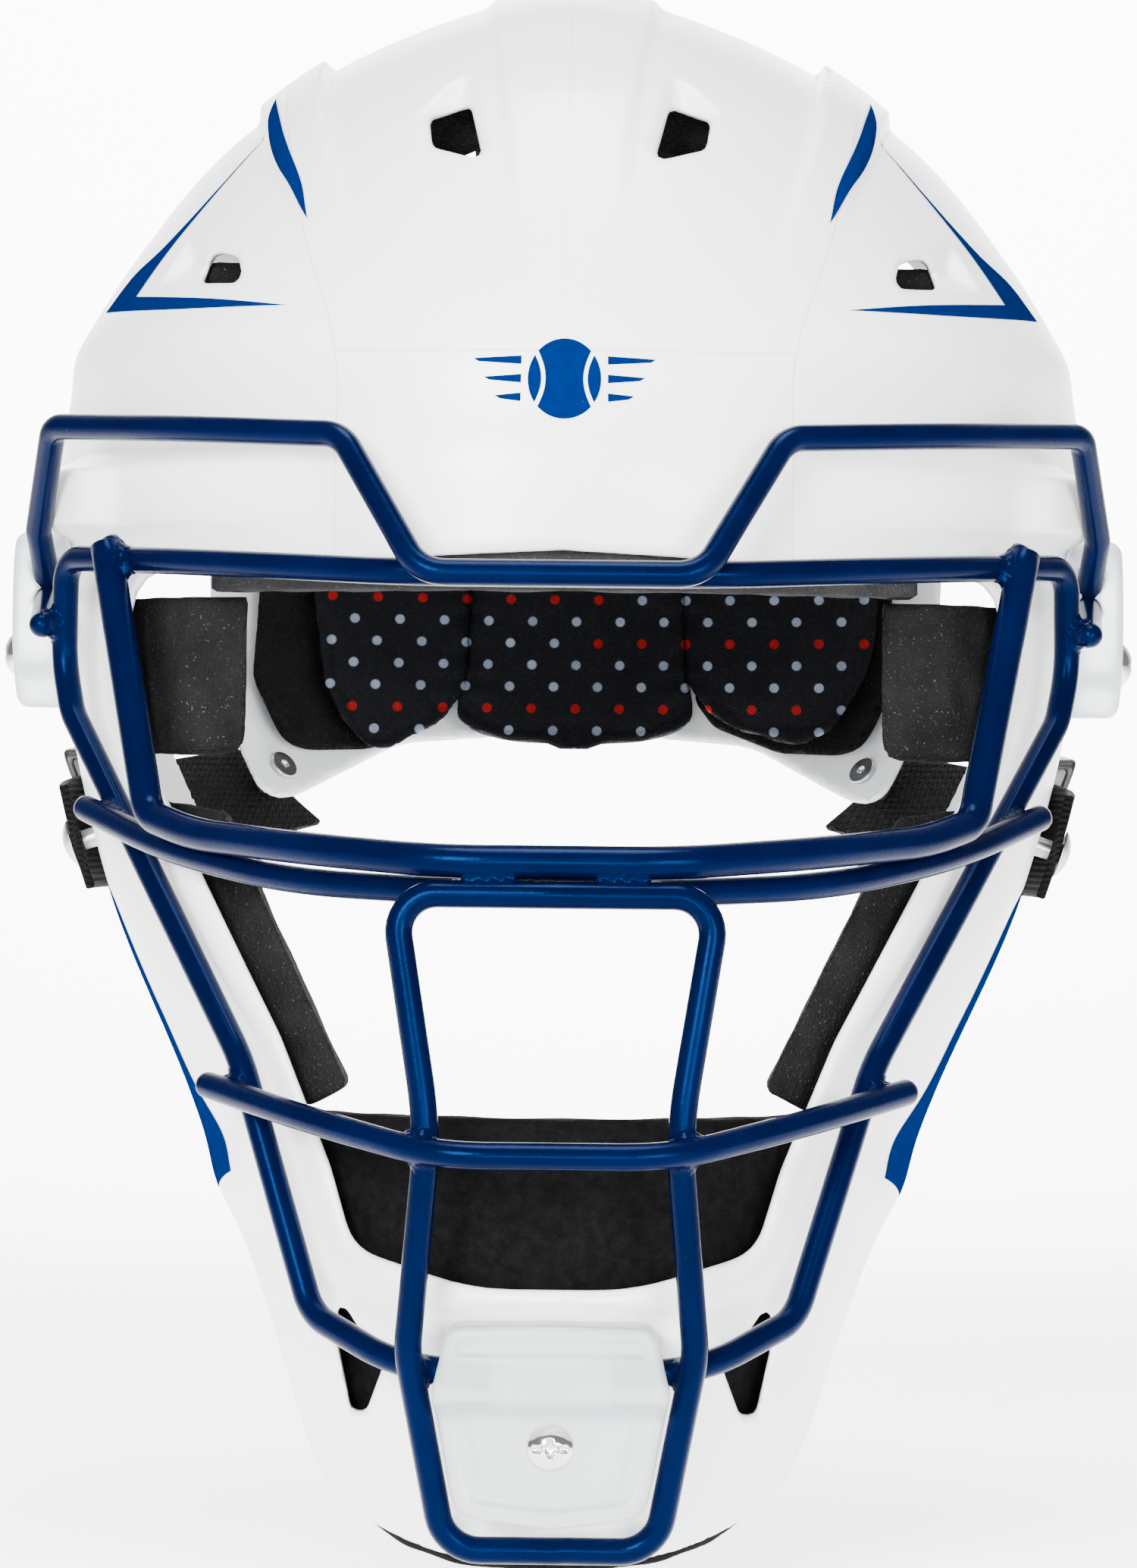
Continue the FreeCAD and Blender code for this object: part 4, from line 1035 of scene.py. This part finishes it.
def puff(piece, cell, pressure, grow, cap, frame):
    """Fills a soft piece: a cloth skin over it is blown up from a slightly smaller shape, then kept within a cap."""
    before = [v.co.copy() for v in piece.data.vertices]
    normals = [v.normal.copy() for v in piece.data.vertices]
    scene = bpy.context.scene
    soft = bpy.data.objects.new(f"{piece.name}_puff", piece.data.copy())
    scene.collection.objects.link(soft)
    for vertex, normal in zip(soft.data.vertices, normals):
        vertex.co -= normal * grow * MM
    net = soft.modifiers.new("net", "REMESH")
    net.mode = "VOXEL"
    net.voxel_size = cell * MM
    bpy.context.view_layer.objects.active = soft
    bpy.ops.object.select_all(action="DESELECT")
    soft.select_set(True)
    bpy.ops.object.modifier_apply(modifier="net")
    start = [v.co.copy() for v in soft.data.vertices]
    cloth = soft.modifiers.new("cloth", "CLOTH")
    cloth.settings.use_pressure = True
    cloth.settings.uniform_pressure_force = pressure
    cloth.settings.effector_weights.gravity = 0
    cloth.point_cache.frame_start = 1
    cloth.point_cache.frame_end = frame
    for number in range(1, frame + 1):
        scene.frame_set(number)
    bpy.ops.object.modifier_apply(modifier="cloth")
    scene.frame_set(1)
    for vertex, first in zip(soft.data.vertices, start):
        moved = vertex.co - first
        if moved.length > cap * MM:
            vertex.co = first + moved * (cap * MM / moved.length)
    smooth = soft.modifiers.new("round", "SUBSURF")
    smooth.levels = 1
    bpy.ops.object.modifier_apply(modifier="round")
    wrap = piece.modifiers.new("wrap", "SHRINKWRAP")
    wrap.target = soft
    wrap.wrap_method = "NEAREST_SURFACEPOINT"
    bpy.context.view_layer.objects.active = piece
    piece.select_set(True)
    bpy.ops.object.modifier_apply(modifier="wrap")
    for vertex, first in zip(piece.data.vertices, before):
        moved = vertex.co - first
        if moved.length > cap * MM:
            vertex.co = first + moved * (cap * MM / moved.length)
    bpy.data.objects.remove(soft)


def build_back_pads():
    """Black foam on the back plate, and three stuffed printed lobes over it."""
    base = rounded(BACK_PAD_SIDE)
    for sign, side in ((1, "left"), (-1, "right")):
        def under(p, sign=sign):
            q = p * np.array([sign, 1, 1])
            region = np.maximum(polygon_distance(q[:, 0], q[:, 2], base), 20 - q[:, 1])
            return pad_between(q, region, LINER, 9.0, 1.0)
        low, high = ((20, 24, -36), (72, 124, 68)) if sign > 0 else ((-72, 24, -36), (-20, 124, 68))
        carve(f"back_pad_{side}_base", under, low, high, 1.3, body="back_plate", slot="foam_black",
              material=FOAM_SMOOTH, stands_for=(f"back_pad_{side}",))
    room = 1.5
    for name, rows, sign, inner, outer in (("center", LOBE_CENTER, 0, 5.0, 14.5), ("left", LOBE_LEFT, 1, 9.3, 15.2),
                                           ("right", LOBE_RIGHT, -1, 9.3, 15.0)):
        plan = rounded(rows, mirror=not sign)

        def lobe(p):
            q = p * np.array([sign or 1, 1, 1])
            region = np.maximum(polygon_distance(q[:, 0], q[:, 2], plan) - room, 20 - q[:, 1])
            return pad_between(q, region, inner - room, outer + room, 3.0)
        span = {"center": (-31, 31), "left": (19, 69), "right": (-63, -20)}[name]
        piece = carve(f"back_pad_{name}_print", lobe, (span[0], 24, -35), (span[1], 124, 75), 1.2,
                      body="back_plate", slot="liner_print", material=LINER_PRINT,
                      stands_for=(f"back_pad_{name}",))
        puff(piece, 4.0, 4.0, 0.8, 2.2, 20)
        # gathers run in from the seams between the lobes
        for vertex in piece.data.vertices:
            x, z = vertex.co.x / MM, vertex.co.z / MM
            seam = math.exp(-((abs(x) - 23.5) / 5.0) ** 2)
            vertex.co.y += 0.55 * MM * seam * math.sin(z * 0.95 + 1.3 * math.sin(z * 0.37))
        piece.data.update()


def build_pads():
    foam_pad("forehead_pad", lambda p: box_region(p, (-68, -150, -3.5), (68, -28, 48)), (-69, -124, -5),
             (69, -26, 50), both=False, slot="foam_black", material=FOAM_GREY)
    foam_pad("crown_pad", lambda p: box_region(p, (-46, -66, 66), (46, 44, 130)), (-47, -68, 64), (47, 46, 118),
             both=False, material=FOAM_SMOOTH)
    side = rounded(SIDE_PAD)
    foam_pad("side_pad", lambda p: np.maximum(polygon_distance(p[:, 1], p[:, 2], side), 42 - p[:, 0]),
             (50, -66, 10), (104, 38, 65))
    temple = rounded(TEMPLE_PAD)
    foam_pad("temple_pad", lambda p: np.maximum(polygon_distance(p[:, 1], p[:, 2], temple), 61.5 - p[:, 0]),
             (59, -86, -37), (104, -32, -3), soft=0.9, cell=1.1)
    jaw = rounded(JAW_PAD)
    foam_pad("jaw_pad", lambda p: np.maximum(polygon_distance(p[:, 0], p[:, 2], jaw), p[:, 1] + 30),
             (36, -132, -103), (100, -28, -40), soft=0.9, cell=1.1)
    chin = rounded(CHIN_PAD_SIDE)
    foam_pad("chin_pad", lambda p: np.maximum(polygon_distance(p[:, 1], p[:, 2], chin), np.abs(p[:, 0]) - 47),
             (-50, -150, -189), (50, -82, -102), soft=4.0, slot="fleece_black", material=FLEECE, both=False)
    build_back_pads()


# ---------------------------------------------------------------- straps

def strap_band(name, rows, lift, node):
    """Webbing over the form: its middle line at a lift, its width across, chamfered edges."""
    half = STRAP_THICKNESS / 2
    section = [(-1, -0.6), (-1, 0.6), (-0.97, 1), (-0.5, 1), (0, 1), (0.5, 1), (0.97, 1), (1, 0.6), (1, -0.6),
               (0.97, -1), (0.5, -1), (0, -1), (-0.5, -1), (-0.97, -1)]
    points = []
    for low, high in rows:
        for across, up in section:
            spot = np.array(low) * (1 - across) / 2 + np.array(high) * (1 + across) / 2
            at, normal = surface_spot(*spot)
            points.append(at + normal * (lift + half + up * half))
    n = len(section)
    faces = [(i * n + k, i * n + (k + 1) % n, (i + 1) * n + (k + 1) % n, (i + 1) * n + k)
             for i in range(len(rows) - 1) for k in range(n)]
    mesh = mesh_of(name, points, faces)
    ends = [tuple(range(n))[::-1], tuple((len(rows) - 1) * n + k for k in range(n))]
    return mesh, ends, n


def close_ends(mesh, count, rows):
    """Caps a band's two ends."""
    import bmesh
    bm = bmesh.new()
    bm.from_mesh(mesh)
    bmesh.ops.holes_fill(bm, edges=[e for e in bm.edges if e.is_boundary], sides=0)
    bmesh.ops.recalc_face_normals(bm, faces=bm.faces)
    bm.to_mesh(mesh)
    bm.free()


def build_straps():
    top_edge = [(-33, -40.5), (20, -37), (50, -34.5), (75, -31.5)]
    low_edge = [(-33, -60.5), (10, -59.5), (40, -55.5), (75, -46.5)]
    rows = []
    for y in np.linspace(-33, 75, 72):
        high = np.interp(y, *zip(*top_edge))
        low = np.interp(y, *zip(*low_edge))
        pair = []
        for z in (low, high):
            p = np.array([[60.0, y, z]])
            ratio, area, centre = (np.interp(z, TABLE[0], column) for column in TABLE[1:])
            pair.append((math.sqrt(max(area / ratio - ((y - centre) / ratio) ** 2, 900.0)), y, z))
        rows.append(pair)
    mesh, _, n = strap_band("side_strap_left_web", rows, STRAP_LIFT, "side_strap_left")
    close_ends(mesh, n, len(rows))
    left = link("side_strap_left_web", mesh, slot="strap_black", material=WEBBING, stands_for=("side_strap_left",))
    right = link("side_strap_right_web", mirrored_mesh(mesh, "side_strap_right_web"), slot="strap_black",
                 stands_for=("side_strap_right",))
    for piece in (left, right):
        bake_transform(piece)
    rows = []
    for t in np.linspace(0, 1, 40):
        a = math.radians(58 + t * -50)
        y, z = 36 + t * 71, np.interp(t, [0, 0.3, 0.6, 0.85, 1], [112, 103, 88, 73, 62])
        ends = []
        for x in (-19, 19):
            ends.append((x, y, z))
        rows.append(ends)
    mesh, _, n = strap_band("top_strap_web", rows, STRAP_LIFT, "top_strap")
    close_ends(mesh, n, len(rows))
    top = link("top_strap_web", mesh, slot="strap_black", material=WEBBING, stands_for=("top_strap",))
    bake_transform(top)


def build_sliders():
    ring_plan = rounded([(10, -34, 3), (24, -33, 3), (25, -61, 3), (11, -62, 3)])
    slot_plan = rounded([(5, -36.3, 0.5), (30, -34.5, 0.5), (31, -59.5, 0.5), (6, -61, 0.5)])

    def ring(p):
        plain = form(p)
        middle = STRAP_LIFT + STRAP_THICKNESS / 2
        outer = meet(np.abs(plain - middle) - 2.85, polygon_distance(p[:, 1], p[:, 2], ring_plan), 1.0)
        slot = np.maximum(np.abs(plain - middle) - 1.4, polygon_distance(p[:, 1], p[:, 2], slot_plan))
        return meet(outer, -slot, 0.4)
    piece = carve("strap_slider_left_ring", ring, (78, 8, -64), (102, 27, -31), 0.6, body="slider_left",
                  slot="slider_black", material=BLACK_PLASTIC, stands_for=("strap_slider_left",))
    link("strap_slider_right_ring", mirrored_mesh(piece.data, "strap_slider_right_ring"), body="slider_right",
         slot="slider_black", stands_for=("strap_slider_right",))


# ---------------------------------------------------------------- surface graphics

def smooth_outline(points, per_span=8):
    """A closed outline through points; a third value of 1 marks a sharp corner."""
    out = []
    count = len(points)
    for i in range(count):
        p0, p1, p2, p3 = (points[(i + k) % count] for k in (-1, 0, 1, 2))
        a, b = np.array(p1[:2], float), np.array(p2[:2], float)
        ta = (b - np.array(p0[:2])) / 2 if not p1[2] else (b - a)
        tb = (np.array(p3[:2]) - a) / 2 if not p2[2] else (b - a)
        for t in np.linspace(0, 1, per_span, endpoint=False):
            out.append((2 * t**3 - 3 * t**2 + 1) * a + (t**3 - 2 * t**2 + t) * ta
                       + (3 * t**2 - 2 * t**3) * b + (t**3 - t**2) * tb)
    return np.array(out)


def film(name, outline, holes=(), lift=0.12, grid=1.2, side=1):
    """A thin film on the shell: its outline holds the angle round the form in degrees, and Z."""
    loops = [outline] + list(holes)
    verts, edges = [], []
    for loop in loops:
        base = len(verts)
        verts += [Vector((u, v)) for u, v in loop]
        edges += [(base + i, base + (i + 1) % len(loop)) for i in range(len(loop))]
    low, high = outline.min(0), outline.max(0)
    us, vs = np.arange(low[0], high[0], grid * 0.8), np.arange(low[1], high[1], grid)
    uu, vv = (a.ravel() for a in np.meshgrid(us, vs))
    d = polygon_distance(uu, vv, outline)
    keep = d < -0.35 * grid
    for hole in holes:
        keep &= polygon_distance(uu, vv, hole) > 0.35 * grid
    verts += [Vector((u, v)) for u, v in zip(uu[keep], vv[keep])]
    found = geometry.delaunay_2d_cdt(verts, edges, [], 0, 1e-5)
    flat = np.array([tuple(v) for v in found[0]])
    faces = np.array([f for f in found[2] if len(f) == 3])
    centres = flat[faces].mean(1)
    inside = polygon_distance(centres[:, 0], centres[:, 1], outline) < 0
    for hole in holes:
        inside &= polygon_distance(centres[:, 0], centres[:, 1], hole) > 0
    faces = faces[inside]
    angle, z = np.radians(flat[:, 0]), flat[:, 1]
    ratio, area, centre = (np.interp(z, TABLE[0], column) for column in TABLE[1:])
    wide = np.sqrt(area / ratio)
    p = np.stack([wide * np.sin(angle), centre - wide * ratio * np.cos(angle), z], -1)
    p = settle(lambda q: skin(q) - lift, p, 5)
    if side < 0:
        p[:, 0] *= -1
        faces = faces[:, ::-1]
    mesh = mesh_of(name, p, faces)
    return link(name, mesh, body="mask", slot="cage_blue", material=DECAL)


# Outlines of the shell's colour accents: the angle round the form in degrees, the height, and 1 at a sharp corner.
WING_UPPER = [(65, 94, 1), (54, 89, 0), (45, 82, 0), (39, 75.5, 0), (35, 68, 1), (43, 77, 0), (57, 88.5, 0)]
WING_FRAME = [(58.5, 89, 1), (60, 78, 0), (65, 66, 0), (71, 60, 0), (74, 53, 1), (51, 51.3, 0), (33, 51, 1),
              (46, 53.2, 0), (64, 55.3, 1), (62, 67, 0), (59, 80, 0)]
JAW_STRIPE = [(92, -57, 1), (93, -80, 0), (92, -100, 0), (90, -114, 0), (85, -119, 1), (67, -114.5, 1),
              (67, -107, 0), (74, -97, 0), (76, -84, 0), (79.5, -64, 0)]


def build_films():
    for side, word in ((1, "left"), (-1, "right")):
        film(f"wing_upper_{word}", smooth_outline(WING_UPPER), lift=0.3, grid=0.7, side=side)
        film(f"wing_frame_{word}", smooth_outline(WING_FRAME), side=side)
        film(f"jaw_stripe_{word}", smooth_outline(JAW_STRIPE), side=side)
    turn = np.linspace(0, 2 * math.pi, 48, endpoint=False)
    ball = np.stack([3.9 * np.cos(turn) , 36.5 + 7.6 * np.sin(turn)], -1)
    seams = []
    for s in (1, -1):
        t = np.linspace(-0.92, 0.92, 12)
        near = np.stack([s * (3.25 - 1.25 * np.cos(t * 1.3)), 36.5 + 5.6 * t], -1)
        far = np.stack([s * (3.75 - 1.30 * np.cos(t * 1.3)), 36.5 + 5.3 * t], -1)
        seams.append(np.concatenate([near, far[::-1]]))
    film("brow_ball", ball, holes=seams, grid=0.9)
    for k, (reach, z, half) in enumerate(((9.8, 40.0, 0.8), (8.6, 36.5, 0.8), (7.4, 33.0, 0.8))):
        for side, word in ((1, "left"), (-1, "right")):
            film(f"brow_dash_{k}_{word}", smooth_outline([(4.6, z + half, 1), (reach, z + 0.3, 1), (reach - 0.6, z - 0.3, 1),
                                                          (4.6, z - half, 1)]), side=side, grid=0.9)


# ---------------------------------------------------------------- stage

def build_stage():
    floor_z = cad_low.z - 0.004
    size, radius = 4.0, 1.2
    rows = [(-size, 0.0), (1.0, 0.0)]
    rows += [(1.0 + radius * math.sin(a), radius * (1 - math.cos(a))) for a in np.linspace(0.1, math.pi / 2, 14)]
    rows += [(1.0 + radius, size)]
    points = [(x / MM, y / MM, (floor_z + z) / MM) for y, z in rows for x in (-size, size)]
    faces = [(2 * i, 2 * i + 1, 2 * i + 3, 2 * i + 2) for i in range(len(rows) - 1)]
    m = Nodes("studio_white")
    cloud = m.noise(3.0, 2.0)
    m.set(Base_Color=m.mix(cloud, (0.93, 0.93, 0.93, 1), (0.95, 0.95, 0.95, 1)), Roughness=0.9)
    x, y, z = m.axes()
    # The backdrop glows in a patch behind the mask: painted light that whitens the backdrop there and lights the mask's
    # edges from behind.
    glow = m.math("MULTIPLY", m.ramp(m.math("ABSOLUTE", x), 0.70, 0.42), m.ramp(z, 0.9, 0.55))
    glow = m.math("MULTIPLY", glow, m.ramp(y, -0.40, -0.10))
    m.set(Emission_Color=(1.0, 1.0, 1.0, 1.0), Emission_Strength=m.math("MULTIPLY", glow, 3.2))
    backdrop = link("backdrop", mesh_of("backdrop", points, faces), material=m.material)
    world = bpy.data.worlds.new("studio")
    bpy.context.scene.world = world
    world.use_nodes = True
    world.node_tree.nodes["Background"].inputs["Color"].default_value = (1, 1, 1, 1)
    world.node_tree.nodes["Background"].inputs["Strength"].default_value = 0.3
    lamps = (
        ("key", (-0.6, -1.8, 0.45), 0.7, 92),
        ("fill", (0.8, -1.8, 0.0), 0.8, 62),
        ("top", (0.0, -0.3, 1.6), 0.9, 44),
        ("low", (0.0, -1.9, -0.25), 0.6, 40),
        ("back", (0.0, 1.6, 0.9), 1.8, 90),
    )
    for name, spot, width, power in lamps:
        lamp = bpy.data.lights.new(name, "AREA")
        lamp.shape, lamp.size, lamp.energy = "DISK", width, power
        holder = bpy.data.objects.new(name, lamp)
        bpy.context.scene.collection.objects.link(holder)
        holder.location = spot
        aim = Vector((0, 0, -0.03)) if name != "back" else Vector((0, 2.2, 0.3))
        holder.rotation_euler = (aim - Vector(spot)).to_track_quat("-Z", "Y").to_euler()


def build_camera():
    """A long lens level with the eyes, a step to the wearer's left, turned a little about its own axis."""
    data = bpy.data.cameras.new("camera")
    data.sensor_width = 36.0
    data.lens = 180.24
    camera = bpy.data.objects.new("camera", data)
    bpy.context.scene.collection.objects.link(camera)
    aim = Vector((0, 0, -0.040))
    camera.location = aim + Vector((math.sin(math.radians(0.75)), -math.cos(math.radians(0.75)), 0)) * 1.6
    turn = (aim - camera.location).to_track_quat("-Z", "Y") @ Quaternion((0, 0, 1), math.radians(0.6))
    camera.rotation_mode = "QUATERNION"
    camera.rotation_quaternion = turn
    bpy.context.scene.camera = camera


def main():
    build_camera()
    build_stage()
    carve("front_shell_moulding", front_shell_field, (-110, -165, -187), (110, 64, 124), 1.15,
          body="mask", slot="shell_white", material=SHELL, stands_for=("front_shell",))
    carve("back_plate_moulding", back_plate_field, (-84, 38, -50), (84, 128, 90), 1.4, body="back_plate",
          slot="plate_white", material=PLATE, stands_for=("back_plate",))
    build_cage()
    build_clips()
    build_fasteners()
    build_pads()
    build_straps()
    build_sliders()
    build_films()


main()
